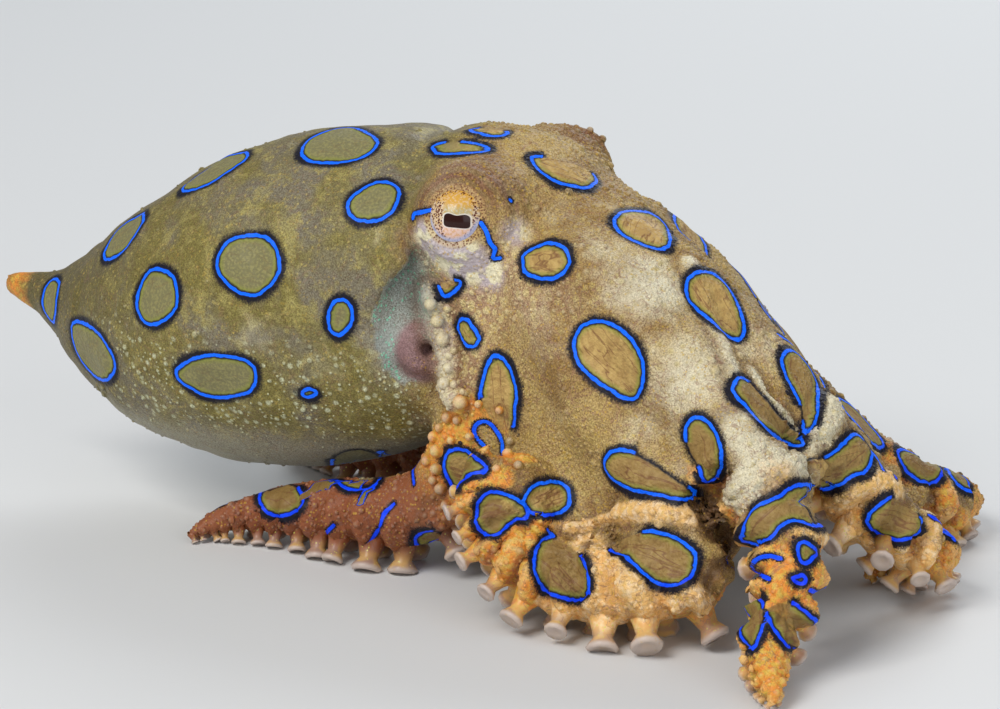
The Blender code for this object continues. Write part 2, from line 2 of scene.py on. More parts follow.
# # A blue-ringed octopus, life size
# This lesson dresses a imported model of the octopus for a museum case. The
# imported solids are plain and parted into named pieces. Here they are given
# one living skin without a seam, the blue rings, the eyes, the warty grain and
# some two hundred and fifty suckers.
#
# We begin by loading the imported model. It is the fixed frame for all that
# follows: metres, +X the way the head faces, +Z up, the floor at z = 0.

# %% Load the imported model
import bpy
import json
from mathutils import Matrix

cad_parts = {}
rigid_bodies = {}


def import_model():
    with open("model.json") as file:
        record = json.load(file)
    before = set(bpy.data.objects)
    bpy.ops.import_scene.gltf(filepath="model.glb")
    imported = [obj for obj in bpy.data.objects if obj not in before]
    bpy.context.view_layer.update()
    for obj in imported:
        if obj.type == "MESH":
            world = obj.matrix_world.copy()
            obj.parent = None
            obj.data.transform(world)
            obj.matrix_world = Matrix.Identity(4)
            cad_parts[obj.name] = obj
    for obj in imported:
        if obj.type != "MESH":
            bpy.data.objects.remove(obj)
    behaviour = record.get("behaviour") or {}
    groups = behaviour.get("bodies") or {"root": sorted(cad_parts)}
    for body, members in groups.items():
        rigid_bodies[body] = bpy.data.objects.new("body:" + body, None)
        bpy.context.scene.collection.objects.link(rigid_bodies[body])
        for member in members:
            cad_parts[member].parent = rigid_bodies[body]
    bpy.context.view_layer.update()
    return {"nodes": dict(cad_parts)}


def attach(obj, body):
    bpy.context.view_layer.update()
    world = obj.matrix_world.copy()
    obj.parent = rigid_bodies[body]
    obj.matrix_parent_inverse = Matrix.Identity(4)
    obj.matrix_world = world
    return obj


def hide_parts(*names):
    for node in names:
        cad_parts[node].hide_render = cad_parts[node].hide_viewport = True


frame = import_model()
print("packed nodes:", len(frame["nodes"]))

import json
import math

import bmesh
import bpy
import numpy as np
from mathutils import Vector, noise
from mathutils.bvhtree import BVHTree
from mathutils.kdtree import KDTree

# %% [markdown]
# ## Millimetres and the octopus's own axes
# The animal is under ten centimetres long, so its sizes are easiest to read in
# millimetres. They are taken from a point under the eyes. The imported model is
# centred on its box instead, so one small shift and one scale lead from the
# body's own millimetres to the frame's metres.

# %% From body millimetres to frame metres
MM = 0.001
BOX_CENTRE = np.array([-5.0, 3.5, 0.0])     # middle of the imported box, in body millimetres


def to_frame(points):
    """Body millimetres to frame metres."""
    return (np.asarray(points, float) - BOX_CENTRE) * MM


def new_object(name, data):
    """An object of the scene with the given data."""
    thing = bpy.data.objects.new(name, data)
    bpy.context.scene.collection.objects.link(thing)
    return thing


print("box centre in body millimetres:", BOX_CENTRE)

# %% [markdown]
# ## Camera
# The camera comes first, because the rings are set out as it sees them. It
# stands on the animal's right, a little ahead and a little above, with a long
# lens, which keeps the proportions of such a small animal true.

# %% Camera
VIEW_AZIMUTH = math.radians(28.0)
VIEW_ELEVATION = math.radians(15.0)
VIEW_DISTANCE = 375.0
VIEW_TARGET = np.array([0.0, 0.0, 18.31])
PICTURE = (1000.0, 709.0)
LENS = 150.0
SENSOR = 36.0
CLIP_START = 0.01     # in metres, since the animal is so small

view_back = np.array([math.sin(VIEW_AZIMUTH) * math.cos(VIEW_ELEVATION),
                      -math.cos(VIEW_AZIMUTH) * math.cos(VIEW_ELEVATION),
                      math.sin(VIEW_ELEVATION)])
view_right = np.array([math.cos(VIEW_AZIMUTH), math.sin(VIEW_AZIMUTH), 0.0])
view_up = np.cross(view_back, view_right)
eye_point = VIEW_TARGET + VIEW_DISTANCE * view_back

camera_data = bpy.data.cameras.new("camera")
camera_data.lens = LENS
camera_data.sensor_width = SENSOR
camera_data.clip_start = CLIP_START
camera = new_object("camera", camera_data)
camera.location = to_frame(eye_point)
camera.rotation_mode = "QUATERNION"
camera.rotation_quaternion = Vector(-view_back).to_track_quat("-Z", "Y")
bpy.context.scene.camera = camera


def pixel_ray(u, v):
    """The direction, in body millimetres, in which a pixel looks."""
    across = (u - PICTURE[0] / 2) / PICTURE[0] * SENSOR / LENS
    upward = (PICTURE[1] / 2 - v) / PICTURE[0] * SENSOR / LENS
    ray = -view_back + across * view_right + upward * view_up
    return ray / np.linalg.norm(ray)


print("camera at", tuple(round(value, 4) for value in camera.location))

# %% [markdown]
# ## Floor and light
# A plain pale floor and soft studio light: one large lamp high on the camera's
# left, a wide weak one from the right and one behind for the outline. Large
# lamps keep the wet skin's highlights soft.

# %% Floor and lamps
FLOOR_SIZE = 3.0
STUDIO_COLOUR = (0.80, 0.84, 0.88, 1.0)
STUDIO_STRENGTH = 0.36
LAMP_AIM = Vector((0, 0, 0.02))
LAMPS = [
    # name, place round the animal in metres, width, watts, colour
    ("key", (-0.10, -0.42, 0.46), 0.30, 2.7, (1.0, 0.97, 0.93)),
    ("fill", (0.52, -0.30, 0.22), 0.45, 1.1, (0.94, 0.97, 1.0)),
    ("rim", (-0.05, 0.50, 0.40), 0.40, 1.7, (0.95, 0.98, 1.0)),
]


def plain_material(name, colour, roughness):
    """A Principled material of one colour, for what isn't part of the animal."""
    material = bpy.data.materials.new(name)
    material.use_nodes = True
    shader = material.node_tree.nodes["Principled BSDF"]
    shader.inputs["Base Color"].default_value = (*colour, 1.0)
    shader.inputs["Roughness"].default_value = roughness
    return material


half = FLOOR_SIZE / 2
floor_mesh = bpy.data.meshes.new("floor")
corners = [(-half, -half, 0), (half, -half, 0), (half, half, 0), (-half, half, 0)]
floor_mesh.from_pydata(corners, [], [(0, 1, 2, 3)])
floor_mesh.materials.append(plain_material("pale_floor", (0.70, 0.71, 0.72), 0.7))
new_object("floor", floor_mesh)

for name, place, width, watts, colour in LAMPS:
    lamp = bpy.data.lights.new(name, "AREA")
    lamp.size = width
    lamp.energy = watts
    lamp.color = colour
    lamp_object = new_object(name, lamp)
    lamp_object.location = place
    lamp_object.rotation_mode = "QUATERNION"
    lamp_object.rotation_quaternion = (LAMP_AIM - Vector(place)).to_track_quat("-Z", "Y")

world = bpy.data.worlds.new("studio")
bpy.context.scene.world = world
world.use_nodes = True
background = world.node_tree.nodes["Background"]
background.inputs["Color"].default_value = STUDIO_COLOUR
background.inputs["Strength"].default_value = STUDIO_STRENGTH
bpy.context.scene.view_settings.view_transform = "Standard"
print("lamps:", [name for name, *rest in LAMPS])

# %% [markdown]
# ## The body's masses
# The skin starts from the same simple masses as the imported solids, from the
# same named sizes: a lofted sac for the mantle, a few stretched balls for the
# head, tapered tubes for the arms and sheets for the web. They may run
# through one another here, since a voxel remesh makes one surface of them.

# %% Sizes of the masses
MANTLE_STATIONS = [
    # x, height of the axis, half height, half width
    (-53.6, 18.7, 0.8, 0.8), (-52.2, 18.6, 1.8, 1.5), (-49.8, 18.1, 1.8, 1.7), (-47.4, 17.7, 2.9, 2.8),
    (-42.0, 17.2, 7.0, 6.9), (-37.0, 17.6, 10.4, 10.0), (-31.5, 18.9, 13.0, 12.2), (-26.0, 20.1, 14.9, 13.6),
    (-20.5, 21.2, 15.8, 14.2), (-15.0, 22.1, 15.8, 14.2), (-10.0, 23.1, 15.3, 13.6), (-5.0, 24.1, 14.4, 13.4),
    (-1.0, 25.1, 13.6, 12.8),
]
MANTLE_WALL = 1.6
MANTLE_CAVITY_START = -15.0
MANTLE_NOTCH = (2.5, 22.4, 8.3)
MANTLE_NOTCH_ARC = (130.0, 240.0)
MANTLE_NAPE = ((-7.0, 36.6), (-3.4, 31.7))
MANTLE_LIP = -1.6
BRAINCASE = ((0.5, 0.0, 28.1), (12.5, 10.2, 11.2))
CROWN = ((8.6, 0.0, 25.2), (9.2, 10.4, 10.0))
NECK = ((-9.0, 0.0, 25.1), (9.5, 8.6, 9.0))
COLLAR = ((-7.0, 0.0, 22.0), (7.4, 12.1, 9.4))
TURRET = ((1.6, 8.0, 33.0), (5.2, 4.8, 5.2))
BROW = ((1.8, 9.2, 35.9), (3.8, 2.6, 1.9))
EYE_CENTRE = np.array([1.5, 10.2, 33.2])
EYE_RADIUS = 2.7
SIPHON_ROUTE = [(-8.4, -2.0, 19.6), (-5.4, -5.6, 19.4), (-3.0, -8.4, 20.2), (-1.4, -11.0, 21.2)]
SIPHON_RADII = (2.8, 2.25)
SIPHON_BORE = (0.85, 3.0)
FOLD_FILL = ((10.2, -15.8, 9.6), (3.6, 3.6, 5.0))
ARMPIT_FILL = ((33.2, -8.4, 14.4), (2.8, 3.6, 3.0))
FUNNEL_BASE = ((-2.6, -7.0, 17.4), (3.8, 3.6, 3.0))
DOWN = (0.0, 0.0, -1.0)
ARMS = {
    "right_1": dict(
        route=[(11.0, -3.9, 32.1), (16.0, -4.2, 30.1), (21.5, -4.3, 26.3), (27.2, -4.2, 20.9),
               (32.5, -3.6, 15.7), (36.8, -1.8, 10.3), (39.8, 1.6, 5.9), (39.6, 6.4, 3.6),
               (36.0, 8.2, 1.5), (33.4, 5.6, 0.5)],
        faces=[(0.0, (-0.6, 0.3, -0.75)), (0.5, (-0.3, 0.1, -0.9)), (0.7, (0.3, 0.1, -0.9)), (1.0, DOWN)]),
    "right_2": dict(
        girth=1.1,
        route=[(9.5, -7.8, 30.7), (14.2, -9.2, 29.1), (20.5, -10.4, 24.5), (27.2, -12.2, 19.1),
               (32.6, -14.6, 14.3), (36.2, -17.2, 9.7), (37.0, -19.8, 6.0), (36.8, -22.8, 3.9),
               (38.6, -26.0, 2.0), (40.4, -28.4, 0.5)],
        faces=[(0.0, (-0.5, 0.7, -0.5)), (0.6, (-0.4, 0.2, -0.9)), (1.0, DOWN)]),
    "right_3": dict(
        girth=1.1,
        route=[(6.4, -7.6, 29.1), (9.6, -9.6, 26.7), (14.0, -10.8, 21.5), (19.4, -12.2, 16.2),
               (24.2, -13.8, 11.3), (26.9, -15.4, 7.1), (23.8, -17.4, 4.4), (17.8, -18.2, 3.9),
               (12.0, -18.4, 5.5), (8.2, -18.4, 9.3), (7.0, -18.2, 13.5), (8.8, -18.2, 15.9)],
        faces=[(0.0, (-0.2, 0.9, -0.4)), (0.45, (-0.4, 0.3, -0.9)), (0.62, (0.0, -0.25, -0.95)),
               (0.8, (-0.6, -0.3, -0.7)), (0.9, (-1.0, -0.2, 0.1)), (1.0, (-0.2, -0.2, 1.0))]),
    "right_4": dict(
        route=[(3.6, -6.6, 26.1), (4.0, -8.4, 23.1), (3.8, -9.2, 18.7), (2.6, -8.8, 13.5),
               (-0.6, -8.8, 7.5), (-6.0, -8.8, 4.2), (-12.6, -8.6, 3.0), (-18.2, -8.4, 2.0),
               (-23.2, -9.6, 1.0), (-26.0, -12.2, 0.5)],
        faces=[(0.0, (0.3, 0.9, -0.4)), (0.4, (0.5, 0.3, -0.8)), (0.6, DOWN), (1.0, DOWN)]),
    "left_1": dict(
        route=[(11.0, 3.9, 30.9), (15.2, 4.8, 26.5), (19.8, 6.2, 20.8), (24.8, 8.6, 15.0),
               (29.2, 11.8, 9.7), (32.6, 15.4, 6.3), (34.6, 19.4, 4.6), (34.4, 24.0, 3.1),
               (31.4, 27.4, 2.0), (28.0, 28.2, 1.0), (26.4, 25.8, 0.5)],
        faces=[(0.0, (-0.6, -0.3, -0.75)), (0.5, (-0.3, -0.2, -0.9)), (0.7, DOWN), (1.0, DOWN)]),
    "left_2": dict(
        route=[(9.5, 7.8, 30.1), (12.8, 9.8, 26.7), (16.0, 13.4, 20.6), (19.0, 18.0, 13.4),
               (21.6, 23.0, 7.6), (22.6, 28.0, 4.8), (19.6, 32.0, 3.2), (14.6, 33.4, 2.0),
               (11.6, 31.0, 1.0), (12.8, 28.2, 0.5)],
        faces=[(0.0, (-0.5, -0.7, -0.5)), (0.5, (-0.3, -0.6, -0.8)), (0.65, DOWN), (1.0, DOWN)]),
    "left_3": dict(
        route=[(6.4, 7.6, 29.1), (7.4, 10.2, 26.5), (8.0, 14.4, 20.7), (7.8, 18.8, 14.3),
               (6.4, 23.2, 8.1), (3.2, 27.0, 4.6), (-2.0, 29.4, 3.1), (-7.6, 29.0, 2.0),
               (-11.4, 26.0, 1.0), (-11.4, 22.6, 0.5)],
        faces=[(0.0, (0.0, -0.9, -0.4)), (0.5, (0.1, -0.5, -0.9)), (0.65, DOWN), (1.0, DOWN)]),
    "left_4": dict(
        route=[(2.6, 6.6, 26.1), (2.6, 8.6, 22.9), (1.6, 10.2, 17.7), (-1.0, 11.2, 11.7),
               (-5.4, 11.8, 6.1), (-11.4, 12.0, 3.9), (-18.0, 12.4, 3.0), (-24.4, 14.0, 2.0),
               (-29.6, 16.8, 1.0), (-32.6, 20.0, 0.5)],
        faces=[(0.0, (0.3, -0.9, -0.3)), (0.4, (0.5, -0.3, -0.8)), (0.6, DOWN), (1.0, DOWN)]),
}
ARM_ROOT_RADIUS = 3.8
ARM_TIP_RADIUS = 0.55
ARM_FULLNESS = 3.6
ARM_ROOT_SLIMNESS = 0.68
ARM_ROOT_SHARE = 0.22
ARM_ORAL_FLATTENING = 0.86
ARM_STANCE = 1.42
WEBS = {
    "web_front": ("left_1", "right_1", 0.60, 0.62),
    "web_right_12": ("right_1", "right_2", 0.64, 0.66),
    "web_right_23": ("right_2", "right_3", 0.70, 0.53),
    "web_right_34": ("right_3", "right_4", 0.80, 0.48),
    "web_under": ("right_4", "left_4", 0.24, 0.24),
    "web_left_34": ("left_4", "left_3", 0.46, 0.50),
    "web_left_23": ("left_3", "left_2", 0.54, 0.54),
    "web_left_12": ("left_2", "left_1", 0.58, 0.60),
}
WEB_START = 0.04
WEB_THICKNESS = 1.4
WEB_LIFT = 0.6
WEB_SCALLOP = 0.12
print(len(ARMS), "arms and", len(WEBS), "webs")

# %% [markdown]
# ## Helpers for lofts and tubes
# A smooth path is read from a Catmull-Rom curve at even steps. A loft skins a
# row of rings and closes both ends on a point. Both work on plain arrays, and
# only the last step makes a Blender mesh.

# %% Paths, lofts and tubes
def unit(vector):
    """The vector at length one."""
    vector = np.asarray(vector, float)
    return vector / np.linalg.norm(vector, axis=-1, keepdims=True)


def square_to(direction, along):
    """The part of a direction that is square to another one, at length one."""
    return unit(direction - (direction * along).sum(axis=-1, keepdims=True) * along)


def read_at(places, values, table):
    """Each column of a table, read between its rows at the given places."""
    return np.column_stack([np.interp(places, values, table[:, column]) for column in range(table.shape[1])])


def smooth_path(points, count):
    """Evenly spaced points on a Catmull-Rom curve through the given ones."""
    knots = np.asarray(points, float)
    padded = np.vstack([2 * knots[0] - knots[1], knots, 2 * knots[-1] - knots[-2]])
    steps = np.linspace(0.0, 1.0, 16, endpoint=False)[:, None]
    dense = []
    for before, start, end, after in zip(padded, padded[1:], padded[2:], padded[3:]):
        square = 2 * before - 5 * start + 4 * end - after
        cube = 3 * start - before - 3 * end + after
        dense.append(start + 0.5 * ((end - before) * steps + square * steps ** 2 + cube * steps ** 3))
    dense = np.vstack(dense + [knots[-1:]])
    run = np.concatenate([[0.0], np.cumsum(np.linalg.norm(np.diff(dense, axis=0), axis=1))])
    return read_at(np.linspace(0.0, run[-1], count), run, dense)


def softened(values, reach):
    """A running mean of a row of numbers, over as many neighbours on each side as the reach."""
    wide = 2 * reach + 1
    return np.convolve(np.pad(values, reach, mode="edge"), np.ones(wide) / wide, mode="valid")


def mesh_from(shape, name):
    """A mesh from a BMesh, which is freed."""
    mesh = bpy.data.meshes.new(name)
    shape.to_mesh(mesh)
    shape.free()
    return mesh


def mesh_object(name, points, faces):
    """A mesh object in the frame's metres, its faces turned outwards."""
    mesh = bpy.data.meshes.new(name)
    mesh.from_pydata(to_frame(points).tolist(), [], faces)
    shape = bmesh.new()
    shape.from_mesh(mesh)
    bmesh.ops.recalc_face_normals(shape, faces=shape.faces)
    return new_object(name, mesh_from(shape, name))


def loft(name, rings):
    """Skin a row of equal rings and close both ends on their centres."""
    sides = len(rings[0])
    first_centre = len(rings) * sides
    last_row = first_centre - sides
    around = [(side, (side + 1) % sides) for side in range(sides)]
    faces = [(row + here, row + beside, row + beside + sides, row + here + sides)
             for row in range(0, last_row, sides) for here, beside in around]
    for here, beside in around:
        faces += [(beside, here, first_centre), (last_row + here, last_row + beside, first_centre + 1)]
    return mesh_object(name, np.vstack([*rings, rings[0].mean(axis=0), rings[-1].mean(axis=0)]), faces)


def tube_rings(path, radii, sides, facing, flattening=1.0):
    """Rings square to a path; the side they face is flattened."""
    around = 2 * math.pi * np.arange(sides) / sides
    rings = []
    for centre, along, radius, wanted in zip(path, unit(np.gradient(path, axis=0)), radii, facing):
        oral = square_to(wanted, along)
        depth = np.where(np.cos(around) > 0, radius * flattening, radius)
        rings.append(centre + np.outer(depth * np.cos(around), oral)
                     + np.outer(radius * np.sin(around), np.cross(along, oral)))
    return rings


def ball(name, centre, axes):
    """A sphere stretched to three half axes."""
    shape = bmesh.new()
    bmesh.ops.create_icosphere(shape, subdivisions=5, radius=1.0)
    mesh = mesh_from(shape, name)
    for vertex in mesh.vertices:
        vertex.co = to_frame(np.array(vertex.co) * axes + centre)
    return new_object(name, mesh)


def baked(thing):
    """Make the object's mesh plain, with its modifiers applied and removed."""
    mesh = bpy.data.meshes.new_from_object(thing.evaluated_get(bpy.context.evaluated_depsgraph_get()))
    thing.modifiers.clear()
    thing.data = mesh


def cut(body, cutter):
    """Take a cutter's space out of a body and delete the cutter."""
    difference = body.modifiers.new("cut", "BOOLEAN")
    difference.operation = "DIFFERENCE"
    difference.object = cutter
    difference.solver = "MANIFOLD"
    baked(body)
    bpy.data.objects.remove(cutter)


print("helpers ready")

# %% [markdown]
# ## Mantle sac
# The mantle is a muscular bag that is open in front, round the neck. A loft
# along the stations gives the bag, a second one drawn in by the wall's
# thickness hollows it, and a profile seen from the side trims its free edge
# to the nape above, the round opening in the middle and the lip below.

# %% Mantle
MANTLE_SIDES = 96
MANTLE_ROWS = (70, 20)     # rings of the sac and of its cavity


def mantle_rings(start, end, count, inset=0.0):
    """Elliptic rings along the sac between two x places, drawn in by the inset."""
    table = np.array(MANTLE_STATIONS)
    spread = np.linspace(table[0, 0], table[-1, 0], 400)
    soft = [softened(np.interp(spread, table[:, 0], table[:, column]), 14) for column in (1, 2, 3)]
    around = 2 * math.pi * np.arange(MANTLE_SIDES) / MANTLE_SIDES
    rings = []
    for x in np.linspace(start, end, count):
        axis_height, half_height, half_width = (np.interp(x, spread, line) for line in soft)
        rings.append(np.column_stack([
            np.full(MANTLE_SIDES, x),
            (half_width - inset) * np.cos(around),
            axis_height + (half_height - inset) * np.sin(around)]))
    return rings


def make_mantle():
    """The open sac."""
    first_x, last_x = MANTLE_STATIONS[0][0], MANTLE_STATIONS[-1][0]
    sac = loft("sac", mantle_rings(first_x, last_x, MANTLE_ROWS[0]))
    cavity = mantle_rings(MANTLE_CAVITY_START, last_x, MANTLE_ROWS[1], MANTLE_WALL)
    cavity[0] = cavity[0] * 0.5 + cavity[0].mean(axis=0) * 0.5
    cavity.append(cavity[-1] + [4.0, 0.0, 0.0])
    cut(sac, loft("cavity", cavity))
    x, z, radius = MANTLE_NOTCH
    above, below, ahead, aside = 50.0, 0.0, 30.0, 20.0
    edge = [(ahead, below), (ahead, above), (MANTLE_NAPE[0][0], above), *MANTLE_NAPE]
    for angle in np.radians(np.linspace(*MANTLE_NOTCH_ARC, 24)):
        edge.append((x + radius * math.cos(angle), z + radius * math.sin(angle)))
    edge += [(MANTLE_LIP, z - 1.25 * radius), (MANTLE_LIP, below)]
    outline = np.array([(place, 0.0, height) for place, height in edge])
    sides = len(outline)
    faces = [tuple(range(sides)), tuple(range(2 * sides - 1, sides - 1, -1))]
    faces += [(here, here + sides, (here + 1) % sides + sides, (here + 1) % sides) for here in range(sides)]
    cut(sac, mesh_object("front", np.vstack([outline - [0, aside, 0], outline + [0, aside, 0]]), faces))
    return sac


masses = [make_mantle()]
print("mantle sac:", len(masses[0].data.vertices), "points")

# %% [markdown]
# ## Head and funnel
# The head is a few overlapping balls: braincase, crown where the arms begin,
# neck, and a turret with a brow over each eye. The funnel under the neck is a
# short bent tube with an open mouth.

# %% Head and funnel
SIPHON_STEPS = 24

for shape in (BRAINCASE, CROWN, NECK, COLLAR, FOLD_FILL, ARMPIT_FILL, FUNNEL_BASE):
    masses.append(ball("mass", *shape))
for side in (-1.0, 1.0):
    masses += [ball("mass", (x, side * y, z), axes) for (x, y, z), axes in (TURRET, BROW)]

siphon_path = smooth_path(SIPHON_ROUTE, SIPHON_STEPS)
downwards = np.tile(np.array(DOWN), (SIPHON_STEPS, 1))
siphon = loft("siphon", tube_rings(siphon_path, np.linspace(*SIPHON_RADII, SIPHON_STEPS), 40, downwards))
mouth = unit(siphon_path[-1] - siphon_path[-2])
bore_path = np.array([siphon_path[-1] - mouth * SIPHON_BORE[1], siphon_path[-1], siphon_path[-1] + mouth])
cut(siphon, loft("bore", tube_rings(bore_path, [SIPHON_BORE[0]] * 3, 24, downwards[:3])))
masses.append(siphon)
print("head masses and funnel:", len(masses) - 1)

# %% [markdown]
# ## Arms and web
# Each arm follows a smooth path and tapers towards its tip. Its girth, the
# side on which its suckers stand and the height at which it rests on them are
# read by one function, so that the suckers and the skin's pleats can be set
# out along the same line later. The web is a thick sheet from arm to arm.

# %% Arms and web
MASS_STEPS = 200      # points along an arm's mass
ARM_STEPS = 220       # points along an arm's line when places on it are measured
ARM_SIDES = 32


def arm_line(name, count=ARM_STEPS):
    """Axis points, sucker directions, radii and tangents along one arm, and its length."""
    arm = ARMS[name]
    path = smooth_path(arm["route"], count)
    share = np.linspace(0.0, 1.0, count)
    places = [place for place, direction in arm["faces"]]
    facing = read_at(share, places, np.array([direction for place, direction in arm["faces"]]))
    radii = ARM_TIP_RADIUS + (ARM_ROOT_RADIUS - ARM_TIP_RADIUS) * (1.0 - share ** ARM_FULLNESS)
    radii *= np.interp(share, [0.0, ARM_ROOT_SHARE], (ARM_ROOT_SLIMNESS, arm.get("girth", 1.0)))
    lifted = np.maximum(path[:, 2], ARM_STANCE * radii)
    path[:, 2] = np.where(lifted > path[:, 2], lifted, softened(lifted, 5))
    length = np.linalg.norm(np.diff(path, axis=0), axis=1).sum()
    return path, facing, radii, unit(np.gradient(path, axis=0)), length


def web_grid(first, second, first_end, second_end, across_count=24, down_count=40):
    """Points of a web sheet, from one arm across to the next and down to its free edge."""
    sides = []
    for name, end in ((first, first_end), (second, second_end)):
        path, facing, radii, tangents, length = arm_line(name, MASS_STEPS)
        sides.append((path - square_to(facing, tangents) * radii[:, None] * WEB_LIFT, end))
    across = np.linspace(0.0, 1.0, across_count)
    drawn_up = 1.0 - WEB_SCALLOP * 4.0 * across * (1.0 - across)
    grid = []
    for down in np.linspace(0.0, 1.0, down_count):
        near, far = (read_at((WEB_START + (end - WEB_START) * down * drawn_up) * (MASS_STEPS - 1),
                             np.arange(MASS_STEPS), line) for line, end in sides)
        grid.append((1.0 - across)[:, None] * near + across[:, None] * far)
    return np.array(grid)


def sheet(name, grid, thickness):
    """A grid of points given a thickness."""
    rows, columns = grid.shape[:2]
    normals = unit(np.cross(np.gradient(grid, axis=1), np.gradient(grid, axis=0)))
    points = np.vstack([(grid + side * normals * thickness / 2).reshape(-1, 3) for side in (1, -1)])
    lower = rows * columns
    faces = []
    for first in [row * columns + column for row in range(rows - 1) for column in range(columns - 1)]:
        corners = (first, first + 1, first + columns + 1, first + columns)
        faces += [corners, tuple(lower + corner for corner in reversed(corners))]
    rim = [*range(columns), *range(2 * columns - 1, lower, columns),
           *range(lower - 2, lower - columns - 1, -1), *range(lower - 2 * columns, 0, -columns)]
    faces += [(after, here, lower + here, lower + after) for here, after in zip(rim, rim[1:] + rim[:1])]
    return mesh_object(name, points, faces)


for name in ARMS:
    path, facing, radii, *rest = arm_line(name, MASS_STEPS)
    masses.append(loft(name, tube_rings(path, radii, ARM_SIDES, facing, ARM_ORAL_FLATTENING)))
masses += [sheet(name, web_grid(*web), WEB_THICKNESS) for name, web in WEBS.items()]
print("masses in all:", len(masses))

# %% [markdown]
# ## One skin
# All the masses are joined and remeshed with small voxels, which gives one
# closed surface with even faces. It is then relaxed: a few rounds of plain
# smoothing melt the voxels' stair steps, and many rounds that only ever move
# the surface outwards fill the creases between the masses, as flesh does.

# %% Join and remesh
VOXEL = 0.52


def one_mesh(things):
    """One object from the meshes of several, which are removed."""
    shape = bmesh.new()
    for thing in things:
        shape.from_mesh(thing.data)
        bpy.data.objects.remove(thing)
    return new_object("skin", mesh_from(shape, "skin"))


def read_column(rows, key, width, kind=np.float32):
    """One property of all points, edges or corners of a mesh."""
    flat = np.empty(len(rows) * width, kind)
    rows.foreach_get(key, flat)
    return flat.reshape(-1, width) if width > 1 else flat


def read_points(mesh):
    """Vertex places of a mesh, in body millimetres."""
    return read_column(mesh.vertices, "co", 3).astype(float) / MM + BOX_CENTRE


def write_points(mesh, points):
    """Set a mesh's vertices from body millimetres."""
    mesh.vertices.foreach_set("co", to_frame(points).astype(np.float32).ravel())
    mesh.update()


def read_normals(mesh):
    """Vertex normals of a mesh."""
    return read_column(mesh.vertex_normals, "vector", 3).astype(float)


def read_edges(mesh):
    """Vertex pairs of a mesh's edges."""
    return read_column(mesh.edges, "vertices", 2, np.int32)


def add_attribute(mesh, name, values):
    """Store one number or one vector for every point of a mesh."""
    values = np.asarray(values, np.float32)
    kind, key = ("FLOAT", "value") if values.ndim == 1 else ("FLOAT_VECTOR", "vector")
    mesh.attributes.new(name, kind, "POINT").data.foreach_set(key, values.ravel())


def skin_tree():
    """A tree for nearest-point questions to the skin as it is now."""
    return BVHTree.FromPolygons([tuple(place) for place in read_points(skin.data).tolist()],
                                [tuple(face.vertices) for face in skin.data.polygons])


skin = one_mesh(masses)
voxels = skin.modifiers.new("voxels", "REMESH")
voxels.mode = "VOXEL"
voxels.voxel_size = VOXEL * MM
baked(skin)
points = read_points(skin.data)
edges = read_edges(skin.data)
print("one skin:", len(points), "points,", len(skin.data.polygons), "faces")

# %% Relax
MELT_ROUNDS = 3
MELT_STEP = 0.5
FILL_ROUNDS = 44
FILL_AFTER = 4
MANTLE_FILL = 0.1      # how much of the filling the mantle gets, against one on the head
FUNNEL_ROOM = 4.5      # nothing is filled this near the funnel, in millimetres


def average(values, edges):
    """The mean of each vertex's neighbours."""
    count = len(values)
    ends = np.concatenate([edges[:, 0], edges[:, 1]])
    others = np.concatenate([edges[:, 1], edges[:, 0]])
    degree = np.maximum(np.bincount(ends, minlength=count), 1)
    sums = [np.bincount(ends, weights=column, minlength=count) for column in values[others].T]
    return np.column_stack(sums) / degree[:, None]


def relax(points, edges, rounds):
    """Plain smoothing."""
    for turn in range(rounds):
        points = points + MELT_STEP * (average(points, edges) - points)
    return points


def fill_creases(points, edges, rounds, weight):
    """Smoothing that only moves the surface outwards, by a weight for each vertex."""
    for turn in range(rounds):
        write_points(skin.data, points)
        normals = read_normals(skin.data)
        outward = np.maximum(((average(points, edges) - points) * normals).sum(axis=1), 0.0)
        points = points + normals * (outward * weight)[:, None]
    return points


points = relax(points, edges, MELT_ROUNDS)
in_head = np.clip((points[:, 0] + 9.0) / 4.0, 0.0, 1.0)
by_funnel = np.linalg.norm(points - (np.array(SIPHON_ROUTE[1]) + SIPHON_ROUTE[3]) / 2, axis=1)
fill_weight = (MANTLE_FILL + (1.0 - MANTLE_FILL) * in_head) * np.clip((by_funnel - FUNNEL_ROOM) / 3.0, 0.0, 1.0)
points = fill_creases(points, edges, FILL_ROUNDS, fill_weight)
points = relax(points, edges, FILL_AFTER)
write_points(skin.data, points)
print("skin box:", points.min(axis=0).round(1), points.max(axis=0).round(1))

# %% [markdown]
# ## Where each point of the skin lies
# To model on the skin, every point has to know its place on the body: which
# arm it is nearest to, how far along that arm and on which side of it, and
# whether it belongs to the mantle. A point's depth is its distance from the
# axis in radii, so that one is the arm's own surface.

# %% Places on arms and mantle
PLACES_AT_ONCE = 8000     # so that the table of distances stays small


